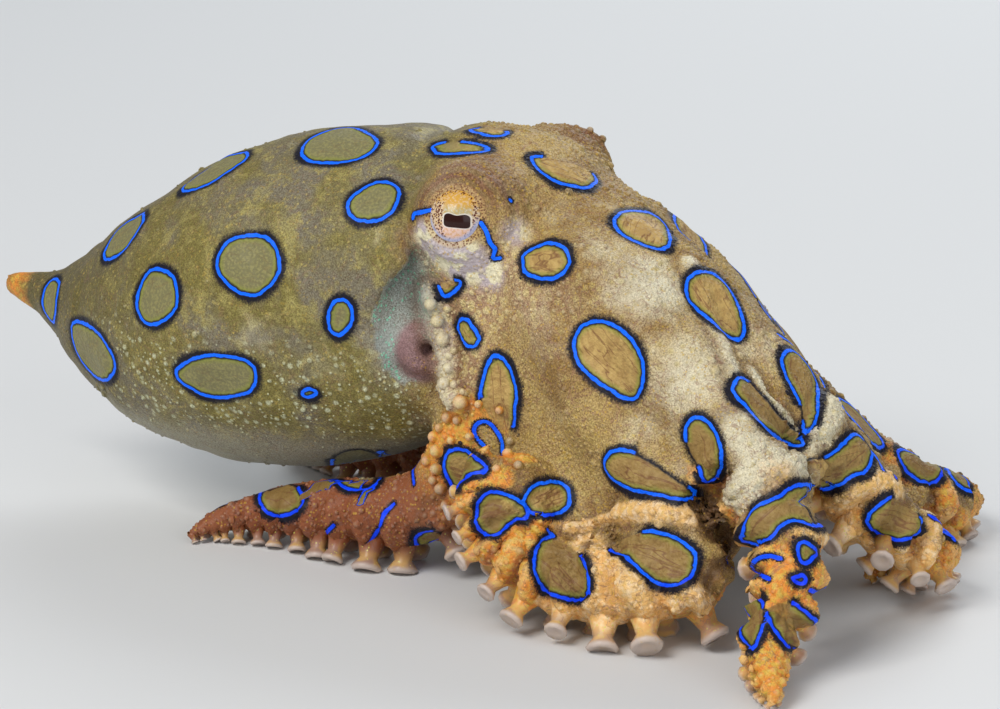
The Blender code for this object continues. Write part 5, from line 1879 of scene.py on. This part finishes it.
# %% Ground colour
TAN_DARK, TAN_LIGHT, GOLDEN_TAN = (0.31, 0.195, 0.066), (0.49, 0.36, 0.145), (0.50, 0.38, 0.11)
CREAM, LILAC, NET_MAUVE = (0.75, 0.71, 0.54), (0.54, 0.48, 0.53), (0.42, 0.27, 0.22)
COBBLE_YELLOW, COBBLE_PALE, BLOB_CREAM = (0.56, 0.46, 0.17), (0.74, 0.64, 0.36), (0.84, 0.80, 0.58)
OLIVE, GREY_LILAC, SAC_YELLOW = (0.21, 0.185, 0.055), (0.205, 0.19, 0.14), (0.37, 0.335, 0.12)
SAC_GOLD, SAC_DARK, BELLY_GREY = (0.52, 0.44, 0.14), (0.12, 0.105, 0.038), (0.36, 0.36, 0.28)
NECK_GREY, GLINT_GREEN, FUNNEL_PINK = (0.33, 0.37, 0.35), (0.24, 0.66, 0.48), (0.27, 0.165, 0.175)
# the last two are painted shade, for the pleats' valleys and the rear arms
ORANGE, ORANGE_SHADE, AMBER_SHADE = (0.78, 0.27, 0.035), (0.27, 0.078, 0.033), (0.64, 0.30, 0.07)
PEACH, PEACH_PALE, GOLD = (0.87, 0.53, 0.19), (0.94, 0.70, 0.42), (0.72, 0.46, 0.07)
GRANULE_PALE, LID_GOLD = (0.62, 0.68, 0.48), (0.62, 0.44, 0.19)
BROW_MAROON, BROW_GOLD = (0.21, 0.09, 0.045), (0.27, 0.18, 0.085)
# the last two are painted shade: for the folds' valleys and the grooves, and for the pits and clefts
WRINKLE_MAUVE, FOLD_SHADE, PIT_SHADE = (0.27, 0.13, 0.10), (0.15, 0.075, 0.035), (0.11, 0.055, 0.028)


def fill_ground(board, given):
    """The washes, one over the other."""
    step, times, noise, mix, layers = board.step, board.times, board.noise, board.mix, board.layers
    place = given["Place"]
    broad, patchy, fine = noise(place, 0.16, 3.0, 0.4), noise(place, 0.55, 3.0, 0.6), noise(place, 1.7, 2.0)
    cream_edge = board.ragged(given["Cream"], patchy, 0.9)
    crumb = board.crumbs(board.cells(place, 2.1), 0.15, 0.42, 1, 0.35, 0.75)
    cobbles = board.cells(place, 1.25)
    cobble = board.crumbs(cobbles, 0.12, 0.50, 0, 0.25, 0.75)
    net = mix(step(cobbles[0], 0.36, 0.56), COBBLE_PALE, NET_MAUVE)
    head = layers(
        mix(step(broad, 0.36, 0.64), TAN_DARK, TAN_LIGHT),
        (step(patchy, 0.50, 0.74, 0.0, 0.6), GOLDEN_TAN), (step(cream_edge, 0.15, 0.95, 0.0, 0.9), CREAM),
        (times(crumb, 0.4), GOLDEN_TAN), (times(given["Lilac"], step(patchy, 0.35, 0.6)), LILAC),
        (times(cobble, 0.55), COBBLE_YELLOW), (times(given["Cobbles"], 0.6), net),
        # painted shade in the folds' valleys, and a painted highlight on their crests
        (step(given["Folds"], -0.12, -0.75, 0.0, 0.6), FOLD_SHADE),
        (step(given["Folds"], 0.15, 0.8, 0.0, 0.5), CREAM))
    sac = layers(
        mix(step(broad, 0.40, 0.62), OLIVE, GREY_LILAC),
        (times(cobble, 0.5), SAC_YELLOW), (step(patchy, 0.48, 0.70, 0.0, 0.75), SAC_YELLOW),
        # the cream on the mantle is a painted highlight
        (times(given["Aft"], 0.8), SAC_DARK), (step(cream_edge, 0.3, 1.0, 0.0, 0.5), CREAM),
        (times(crumb, 0.5), SAC_GOLD))
    speck_gap, speck_luck = board.cells(place, 1.15)
    speck_size = step(board.part(speck_luck, 0), 0.2, 1.0, 0.0, 0.34)
    speck = times(board.fade(speck_gap, 0.16, 0.42), step(speck_size, 0.05, 0.2))
    glint = board.crumbs(board.cells(place, 3.4), 0.28, 0.50, 1, 0.35, 0.6)
    neck = mix(times(glint, step(patchy, 0.36, 0.52), 0.9), NECK_GREY, GLINT_GREEN)
    flame = layers(
        mix(step(fine, 0.40, 0.66), ORANGE, GOLD),
        # painted highlight on the pleats' crests; painted shade in their valleys and on the rear arms
        (step(given["Pleat"], -0.2, 0.9, 0.0, 0.75), PEACH),
        (step(given["Pleat"], -1.0, -0.2, 0.75, 0.0), ORANGE_SHADE), (given["Rear"], ORANGE_SHADE))
    peach = layers(
        mix(step(fine, 0.42, 0.66), PEACH, PEACH_PALE),
        # painted shade in the pleats' valleys
        (step(given["Pleat"], -0.9, 0.1, 0.55, 0.0), AMBER_SHADE), (times(cobble, 0.45), GOLD))
    folds = board.plus(times(given["Eye gap"], 2 * math.pi / RING_FOLD_PITCH), times(patchy, 4.0))
    brow = mix(step(board.math("SINE", folds), -0.6, 0.8), BROW_MAROON, BROW_GOLD)
    ridge = board.size_of(board.minus(noise(place, 0.42, 4.0, 1.4), 0.5))
    wrinkle = times(step(ridge, 0.0, 0.022, 0.55, 0.0), step(given["Mantle"], 0.2, 0.9, 1.0, 0.45))
    blob = mix(step(board.ragged(board.cells(place, 0.62)[0], fine, 0.7), 0.44, 0.60), BLOB_CREAM, LILAC)
    lid = board.band(given["Eye gap"], 2.35, 0.45, 0.15)
    lid_dots = times(lid, board.fade(board.cells(place, 4.6)[0], 0.34, 0.44))
    return {"Colour": layers(
        mix(given["Mantle"], head, sac),
        (step(given["Belly"], 0.1, 0.9, 0.0, 0.85), BELLY_GREY),
        (times(given["Granules"], speck, 0.9), GRANULE_PALE), (given["Neck"], neck),
        (given["Funnel"], FUNNEL_PINK),
        (step(board.ragged(given["Orange"], patchy, 0.7), 0.22, 0.62, 0.0, 0.94), flame),
        (step(board.ragged(given["Peach"], fine, 0.7), 0.2, 0.8, 0.0, 0.88), peach),
        (step(board.ragged(given["Brow"], patchy, 0.6), 0.1, 0.9, 0.0, 0.8), brow),
        # painted shade in the grooves beside the ridges; the mauve wrinkles are the skin's own
        (times(given["Grooves"], 0.6), FOLD_SHADE), (wrinkle, WRINKLE_MAUVE),
        (step(given["Blobs"], 0.1, 0.6, 0.0, 0.85), blob),
        (times(lid, 0.55), LID_GOLD), (lid_dots, BROW_MAROON),
        # painted shade in the pits and clefts
        (step(given["Pit"], 0.35, 1.0, 0.0, 0.8), PIT_SHADE))}


WASHES = ("Mantle", "Belly", "Neck", "Funnel", "Cream", "Lilac", "Peach", "Orange", "Rear", "Pleat", "Granules",
          "Brow", "Eye gap", "Pit", "Blobs", "Cobbles", "Folds", "Grooves", "Aft")
ground = node_group("ground colour", {"Place": "vector", **dict.fromkeys(WASHES, "number")},
                    {"Colour": "colour"}, fill_ground)

# %% [markdown]
# ### The dots
# The colour sacs are a tenth of a millimetre across and lie a quarter of a
# millimetre apart. Two nets of scattered cells give them: dark brown dots and
# golden ones, thicker in some patches than in others.

# %% Stipple
DOT_BROWN, DOT_GOLD = (0.075, 0.034, 0.018), (0.58, 0.37, 0.05)
SPECKLE_DARK, SPECKLE_PALE = (0.62, 0.56, 0.50), (1.10, 1.06, 1.0)
SPECKLE_GAIN = 1.7


def fill_stipple(board, given):
    """Brown and golden dots over a colour."""
    place, step = given["Place"], board.step
    crowd = board.noise(place, 0.35, 3.0)
    dark_gap, dark_luck = board.cells(place, 5.2)
    dark_size = board.times(step(crowd, 0.32, 0.68, 0.12, 0.36),
                            step(board.part(dark_luck, 0), 0.0, 0.8, 0.5, 1.0))
    dark = board.fade(board.minus(dark_gap, dark_size), -0.10, 0.06)
    gold_gap, gold_luck = board.cells(place, 3.3)
    gold_size = board.times(step(crowd, 0.35, 0.65, 0.42, 0.22), step(board.part(gold_luck, 1), 0.2, 0.9))
    gold = board.fade(board.minus(gold_gap, gold_size), -0.12, 0.08)
    speckle = board.mix(step(board.noise(place, 7.5, 1.0), 0.32, 0.68), SPECKLE_DARK, SPECKLE_PALE)
    shade = board.math("MULTIPLY", given["Dark"], SPECKLE_GAIN, clamp=True)
    shaded = board.mix(shade, given["Colour"], speckle, "MULTIPLY")
    return {"Colour": board.layers(shaded, (board.times(gold, given["Gold"]), DOT_GOLD),
                                   (board.times(dark, given["Dark"]), DOT_BROWN))}


stipple = node_group("stipple", {"Place": "vector", "Colour": "colour", "Dark": "number", "Gold": "number"},
                     {"Colour": "colour"}, fill_stipple)

# %% [markdown]
# ### The rings
# A ring is read from its distance, above zero inside. From outside inwards
# there are a black halo that frays into dots, the blue line, a thin green rim
# and the olive middle with its fine red veins. The blue of a live animal is
# not a pigment but a mirror of thin plates, brighter than paint can be, so it
# gets a little light of its own.

# %% Ring paint
LINE_HALF_WIDTH = 0.152
HALO_WIDTH = 0.50
LIMB_HALO = 0.07      # how much wider the halo is on the arms
THIN_HALO = 0.16      # where the ring has no blue line
BLACK = (0.0, 0.0, 0.0)
RING_BLUE, RING_BLUE_DEEP, RING_BLACK = (0.0, 0.125, 0.92), (0.0, 0.03, 0.80), (0.006, 0.005, 0.012)
RING_GREEN, VEIN_RED = (0.24, 0.26, 0.04), (0.17, 0.07, 0.03)
FILL_OLIVE, FILL_GOLD = (0.40, 0.25, 0.085), (0.52, 0.35, 0.12)
FILL_SAC, FILL_BROWN = (0.165, 0.165, 0.08), (0.15, 0.085, 0.022)


def fill_rings(board, given):
    """Halo, line, rim and middle of the rings, and the blue streaks."""
    step, times, noise, plus, fade = board.step, board.times, board.noise, board.plus, board.fade
    place, drawing, mantle = given["Place"], given["Line"], given["Mantle"]
    shake = board.shaken(noise(place, 1.3, 2.0), 0.34)
    fray = board.shaken(noise(place, 6.5, 1.0), 0.62)
    distance = plus(given["Ring"], shake)
    drawn = step(drawing, 0.66, 0.82)
    ridge = board.size_of(board.minus(noise(given["Veins"], 0.85, 3.0, 0.6), 0.5))
    fill = board.layers(
        board.mix(step(noise(place, 1.1, 4.0, 0.5), 0.38, 0.62), FILL_OLIVE, FILL_GOLD),
        (times(mantle, 0.9), FILL_SAC),
        (times(step(noise(place, 4.2, 2.0), 0.44, 0.64), mantle, 0.4), SAC_YELLOW),
        (times(given["Limb"], 0.5), FILL_BROWN), (times(given["Deep"], 0.6), FILL_BROWN),
        (times(step(ridge, 0.0, 0.03, 0.75, 0.0), step(mantle, 0.2, 0.9, 1.0, 0.25)), VEIN_RED),
        (times(fade(distance, 0.25, 0.85), drawn, 0.75), RING_GREEN))
    uneven = times(board.shaken(noise(place, 0.22, 1.0), 0.9), drawn)
    width = plus(step(drawing, 0.55, 0.85, THIN_HALO, HALO_WIDTH), uneven)
    width = plus(width, times(given["Limb"], LIMB_HALO, drawn))
    frayed = plus(plus(distance, fray), width)
    reach_in = plus(distance, step(drawing, 0.55, 0.85, 0.2, 0.0))
    ring_halo = times(step(frayed, -0.42, 0.12), fade(reach_in, 0.2, 0.42), step(drawing, 0.05, 0.45))
    halo = board.math("MAXIMUM", ring_halo, fade(plus(given["Streak"], fray), 0.22, 0.50))
    ring_line_mask = times(board.band(distance, 0.0, LINE_HALF_WIDTH, 0.05), drawn)
    streak_mask = fade(plus(given["Streak"], times(shake, 0.5)), 0.14, 0.22)
    line = board.math("MAXIMUM", ring_line_mask, streak_mask)
    blue = board.mix(given["Deep"], RING_BLUE, RING_BLUE_DEEP)
    inside = times(step(distance, 0.0, 0.2), step(drawing, 0.0, 0.5, 0.8, 1.0))
    colour = board.layers(given["Colour"], (inside, fill), (halo, RING_BLACK), (line, blue))
    return {"Colour": colour, "Glow": board.mix(line, BLACK, blue)}


RING_READINGS = ("Ring", "Line", "Streak", "Deep", "Mantle", "Limb")
rings_paint = node_group("ring paint", {"Place": "vector", "Colour": "colour", "Veins": "vector",
                                        **dict.fromkeys(RING_READINGS, "number")},
                         {"Colour": "colour", "Glow": "colour"}, fill_rings)

# %% [markdown]
# ### Grain
# Under the warts the skin itself is grained. The group gives only a height,
# and each material turns it into bump at its own strength.

# %% Grain
def fill_grain(board, given):
    """Height of the fine grain, from small cells and soft wrinkles."""
    place, cobbles = given["Place"], given["Cobbles"]
    height = board.plus(board.times(board.fade(board.cells(place, 2.3)[0], 0.0, 0.62), cobbles),
                        board.times(board.fade(board.cells(place, 4.6)[0], 0.0, 0.6), 0.35, cobbles))
    return {"Height": board.plus(height, board.times(board.noise(place, 1.0, 4.0, 0.8), 0.9))}


grain = node_group("grain", {"Place": "vector", "Cobbles": "number"}, {"Height": "number"}, fill_grain)

# %% [markdown]
# ### Suckers and the skin's material
# A sucker begins in the colour of the pleat that it grows from. Its stalk
# turns a translucent grey with specks of yellow-green, and its rim is pale.
# One function then makes the materials of skin, warts, papillae and suckers,
# so that a wart is the colour of the skin it stands on.

# %% Materials of skin, warts and suckers
STALK_GOLD, STALK_MAUVE = (0.66, 0.43, 0.17), (0.40, 0.27, 0.21)
CUP_PALE, SPECK_GREEN = (0.56, 0.47, 0.42), (0.66, 0.62, 0.13)
GLOW_STRENGTH = 0.22
BUMP_DEPTH = 0.25     # millimetres
WET_ROUGHNESS = 0.22
WET_SHINE = 0.22


def fill_cups(board, given):
    """From the pleat's colour to the pale rim, by height on the sucker."""
    place, rise = given["Place"], given["Rise"]
    speck = board.crumbs(board.cells(place, 3.0), 0.12, 0.30, 2, 0.45, 0.7)
    stalk = board.mix(board.step(board.noise(place, 0.45, 1.0), 0.46, 0.56), STALK_MAUVE, STALK_GOLD)
    return {"Colour": board.layers(
        given["Colour"], (board.step(rise, 0.10, 0.75, 0.0, 0.75), stalk),
        (board.times(speck, board.step(rise, 0.90, 0.75)), SPECK_GREEN),
        (board.step(rise, 0.72, 0.92, 0.0, 0.9), CUP_PALE))}


cup_colour = node_group("sucker colour", {"Place": "vector", "Colour": "colour", "Rise": "number"},
                        {"Colour": "colour"}, fill_cups)


def coat_of_skin(name, dark, gold, cobbles, bump, roughness, coat, tips=0.0, cups=False):
    """A material that wears the skin's layers, with its own amounts, paler tips or suckers' cups."""
    material = plain_material(name, TAN_LIGHT, roughness)
    board = Board(material.node_tree)
    step, times = board.step, board.times
    shader = material.node_tree.nodes["Principled BSDF"]
    place = board.add("ShaderNodeVectorMath", {0: board.add("ShaderNodeTexCoord").outputs["Object"],
                                               "Scale": 1.0 / MM}, operation="SCALE").outputs[0]
    read = {label: board.attribute(label) for label, values in MASKS.items() if values.ndim == 1}
    washes = {wash: read[wash.lower().replace(" ", "_")] for wash in WASHES}
    colour = use_group(board, ground, {"Place": place, **washes})["Colour"]
    if tips:
        top = step(board.attribute("rise"), 0.25, 0.95)
        colour = board.layers(
            colour, (times(top, tips), CREAM), (times(top, read["cobbles"], 0.75), COBBLE_PALE),
            (times(top, read["granules"], 0.8), GRANULE_PALE))
    if cups:
        rise = board.attribute("rise")
        colour = use_group(board, cup_colour, {"Place": place, "Colour": colour, "Rise": rise})["Colour"]
    lower = board.math("MAXIMUM", read["orange"], read["peach"])
    smooth_here = times(step(lower, 0.2, 0.8, 1.0, 0.3), step(read["blobs"], 0.1, 0.6, 1.0, 0.3),
                        step(read["cream"], 0.3, 0.9, 1.0, 0.5))
    gold_here = times(step(read["mantle"], 0.2, 0.8, 1.0, 0.4), board.fade(read["neck"], 0.2, 0.8), gold)
    colour = use_group(board, stipple, {"Place": place, "Colour": colour, "Dark": times(smooth_here, dark),
                                        "Gold": gold_here})["Colour"]
    paint = use_group(board, rings_paint, {
        "Place": place, "Colour": colour, "Ring": read["ring"], "Line": read["ring_line"],
        "Streak": read["streak"], "Deep": lower, "Mantle": read["mantle"], "Limb": read["limb"],
        "Veins": board.attribute("vein_place", "Vector")})
    grained = step(read["mantle"], 0.2, 0.9, cobbles, cobbles * 0.35)
    height = times(use_group(board, grain, {"Place": place, "Cobbles": grained})["Height"],
                   step(lower, 0.2, 0.8, 1.0, 0.55))
    raised = board.add("ShaderNodeBump", {"Height": height, "Strength": bump, "Distance": BUMP_DEPTH * MM})
    for socket, value in {"Base Color": paint["Colour"], "Emission Color": paint["Glow"],
                          "Emission Strength": GLOW_STRENGTH, "Normal": raised.outputs["Normal"],
                          "Coat Weight": coat, "Coat Roughness": WET_ROUGHNESS,
                          "Specular IOR Level": WET_SHINE}.items():
        board.feed(shader.inputs[socket], value)
    return material


skin_material = coat_of_skin("octopus_skin", 0.62, 0.55, 0.8, 0.5, 0.5, 0.04)
wart_material = coat_of_skin("wart_skin", 0.5, 0.5, 0.3, 0.3, 0.5, 0.04, tips=0.12)
papilla_material = coat_of_skin("papilla_skin", 0.4, 0.5, 0.4, 0.4, 0.45, 0.08, tips=0.35)
sucker_material = coat_of_skin("sucker_skin", 0.06, 0.25, 0.1, 0.2, 0.38, 0.2, cups=True)
print("skin material nodes:", len(skin_material.node_tree.nodes))

# %% [markdown]
# ## Standing the small forms on the skin
# All that is left is to put the patterns on their points. Warts are bigger on
# the arms than on the web, and no two are the same size. A row of larger
# papillae fringes the free edge of the web beside the funnel, leaning out
# over it.

# %% Warts and papillae
PAPILLAE = [
    # u, v, radius in millimetres
    (431, 304, 0.6), (438, 320, 0.62), (443, 339, 0.66), (455, 351, 0.42), (449, 368, 0.5), (445, 384, 0.6),
    (461, 402, 0.7), (449, 418, 0.55), (435, 437, 0.55), (438, 451, 0.62), (437, 469, 0.55), (479, 404, 0.38),
    (500, 410, 0.38), (455, 385, 0.4), (458, 420, 0.42), (441, 428, 0.45), (452, 440, 0.4), (441, 488, 0.55),
    (447, 505, 0.5), (456, 524, 0.55), (466, 541, 0.5), (450, 356, 0.4), (470, 436, 0.42), (463, 392, 0.36),
    (428, 461, 0.5), (434, 480, 0.46), (508, 455, 0.5), (519, 466, 0.45), (497, 470, 0.42), (512, 441, 0.42),
    (606, 138, 0.4), (590, 131, 0.34), (612, 152, 0.4),
]


def skin_piece(name, replaced=()):
    """Settle a finished piece: shaded smooth, it hides the solids it replaces and rides on the one body."""
    thing = bpy.data.objects[name]
    thing.data.polygons.foreach_set("use_smooth", [True] * len(thing.data.polygons))
    if replaced:
        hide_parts(*replaced)
    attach(thing, "root")
    faces = sum(len(face.vertices) - 2 for face in thing.data.polygons)
    print(name, "has", faces, "triangles")


def above_floor(piece):
    """Flatten onto the floor what would dip under it."""
    places = read_points(piece.data)
    places[:, 2] = np.maximum(places[:, 2], 0.02)
    write_points(piece.data, places)


def without_rings(carried):
    """The same carried masks, far from any ring or streak."""
    carried["ring"] = np.full(len(carried["ring"]), -3.0)
    carried["streak"] = np.full(len(carried["streak"]), 3.0)
    return carried


wart_chance = np.random.default_rng(31)
for label, (spacing, density, radius, more, seed) in WARTS.items():
    places, outward = strewn[label]
    size = radius + more * wart_chance.random(len(places)) ** 2
    warts = stand_copies(label + "_warts", wart_mesh, places, outward, size, wart_material,
                         carried_from_skin(places))
    lay_map(warts)
    above_floor(warts)

hits = [cast(u, v) for u, v, radius in PAPILLAE]
papilla_places = np.array([place for place, normal in hits])
papilla_outward = unit(np.array([normal for place, normal in hits]) - 0.35 * view_right)
papilla_size = np.array([radius for u, v, radius in PAPILLAE])
papillae = stand_copies("papillae", papilla_mesh, papilla_places, papilla_outward, papilla_size,
                        papilla_material, without_rings(carried_from_skin(papilla_places)))
lay_map(papillae)
print("papillae:", len(PAPILLAE))

# %% Suckers
add_pattern_values(sucker_mesh, max(height for height, radius in SUCKER_PROFILE))
suckers = stand_copies("suckers", sucker_mesh, roots, directions, sizes, sucker_material,
                       without_rings(carried_from_skin(roots)))
lay_map(suckers)
above_floor(suckers)
print("suckers:", len(roots))

# %% [markdown]
# ## Eyes
# The eye of an octopus is a gold and maroon disc with a bar of a pupil that
# stays level however the animal turns. Each eye is a ball in its socket with
# the skin's edge resting on it. The iris is painted from a small map of the
# eye's face, in millimetres from its middle, which every point carries.

# %% The iris
IRIS_SHIFT = 0.50       # the middle of the iris lies this far forward of the eye's axis
PUPIL_HALF_SIZE = (1.13, 0.60)
PUPIL_DROP = 0.50
PUPIL_DENT = 0.16
IRIS_GOLD = (0.66, 0.36, 0.06)
IRIS_MOSS = (0.42, 0.36, 0.18)
IRIS_PINK = (0.80, 0.52, 0.42)
IRIS_WHITE = (0.80, 0.76, 0.72)
IRIS_SIDE = (0.68, 0.50, 0.30)
IRIS_BLUE = (0.50, 0.56, 0.82)
IRIS_MAROON = (0.11, 0.018, 0.012)
PUPIL_DARK = (0.025, 0.005, 0.003)


def fill_iris(board, given):
    """Pupil, border, gold above, pink below and maroon dots at both sides."""
    face = board.add("ShaderNodeSeparateXYZ", {"Vector": given["Face"]}).outputs
    across, upward = board.math("SUBTRACT", face["X"], IRIS_SHIFT), face["Y"]
    far = board.add("ShaderNodeVectorMath", {0: given["Face"]}, operation="LENGTH").outputs["Value"]
    aside = board.math("ABSOLUTE", across)
    colour = board.mix(board.step(upward, 0.3, 1.2), IRIS_MOSS, IRIS_GOLD)
    colour = board.mix(board.step(upward, -0.2, -1.1), colour, IRIS_PINK)
    at_side = board.times(board.step(aside, 0.9, 1.5), board.step(board.math("ABSOLUTE", upward), 1.6, 0.6))
    colour = board.mix(at_side, colour, IRIS_SIDE)
    streaks = board.noise(given["Face"], 4.5, 3.0)
    colour = board.mix(board.step(streaks, 0.48, 0.62, 0.0, 0.3), colour, IRIS_WHITE)
    colour = board.mix(board.step(streaks, 0.50, 0.38, 0.0, 0.5), colour, IRIS_GOLD)
    level = board.math("ADD", upward, PUPIL_DROP)
    dent = board.times(board.step(aside, 0.0, 0.8, PUPIL_DENT, 0.0), board.math("GREATER_THAN", level, 0.0))
    tall = board.math("DIVIDE", board.math("ADD", level, dent), PUPIL_HALF_SIZE[1])
    wide = board.math("DIVIDE", across, PUPIL_HALF_SIZE[0])
    box = board.math("POWER", board.math("ADD", board.math("POWER", board.math("ABSOLUTE", wide), 4.5),
                                         board.math("POWER", board.math("ABSOLUTE", tall), 4.5)), 1.0 / 4.5)
    border = board.step(box, 1.20, 1.07)
    colour = board.mix(board.times(border, 0.7), colour, IRIS_WHITE)
    gap, luck = board.cells(given["Face"], 6.0)
    beside_pupil = board.times(board.step(aside, 0.95, 1.45, 0.0, 0.56), board.step(upward, 1.9, 0.7))
    size = board.math("ADD", beside_pupil, board.times(board.step(far, 1.75, 2.05), 0.42))
    size = board.math("MINIMUM", size, 0.50)
    size = board.times(size, board.step(far, 2.35, 2.15), board.step(board.part(luck, 0), 0.0, 0.4, 0.6, 1.0))
    dots = board.step(board.math("SUBTRACT", gap, size), -0.08, 0.06, 1.0, 0.0)
    colour = board.mix(board.times(dots, board.step(box, 1.05, 1.2)), colour, IRIS_MAROON)
    rim = board.times(board.step(far, 1.85, 2.15), board.step(upward, 0.2, -0.8))
    colour = board.mix(board.times(rim, 0.8), colour, IRIS_BLUE)
    return {"Colour": board.mix(board.step(box, 1.04, 0.98), colour, PUPIL_DARK)}


iris = node_group("iris", {"Face": "vector"}, {"Colour": "colour"}, fill_iris)
eye_material = plain_material("octopus_eye", IRIS_GOLD, 0.25)
board = Board(eye_material.node_tree)
eye_shader = eye_material.node_tree.nodes["Principled BSDF"]
face_map = board.add("ShaderNodeAttribute", attribute_name="face_map").outputs["Vector"]
board.feed(eye_shader.inputs["Base Color"], use_group(board, iris, {"Face": face_map})["Colour"])
eye_shader.inputs["Specular IOR Level"].default_value = 0.15
eye_shader.inputs["Coat Weight"].default_value = 0.25
eye_shader.inputs["Coat Roughness"].default_value = 0.06
print("iris nodes:", len(iris.nodes))

# %% Both eyes
def make_eye(name, side):
    """One eyeball, with the map of its face."""
    centre, axis = eye_side(side)
    eye = ball(name, centre, (EYE_RADIUS, EYE_RADIUS, EYE_RADIUS))
    level = unit(np.cross((0.0, 0.0, 1.0), axis)) * (1.0 if side < 0 else -1.0)
    upright = np.cross(axis, level) * (1.0 if side < 0 else -1.0)
    offset = read_points(eye.data) - centre
    face = np.column_stack([offset @ level, offset @ upright, np.zeros(len(offset))])
    add_attribute(eye.data, "face_map", face)
    eye.data.materials.append(eye_material)
    return eye


eyes = {"right_eye": -1.0, "left_eye": 1.0}
for name, side in eyes.items():
    make_eye(name, side)
print("eyes made:", list(eyes))

# %% [markdown]
# ## Putting the pieces in place
# The skin takes the place of all the plain solids but the eyes, and each eye
# of its own solid. Everything rides on the one body, since a still model has
# no joints.

# %% Finish
skin.data.materials.clear()
skin.data.materials.append(skin_material)
flesh = [name for name in frame["nodes"] if not name.startswith("eye")]
skin_piece("skin", flesh)
skin_piece("small_warts")
skin_piece("large_warts")
skin_piece("papillae")
skin_piece("suckers")
skin_piece("right_eye", ["eye_right"])
skin_piece("left_eye", ["eye_left"])
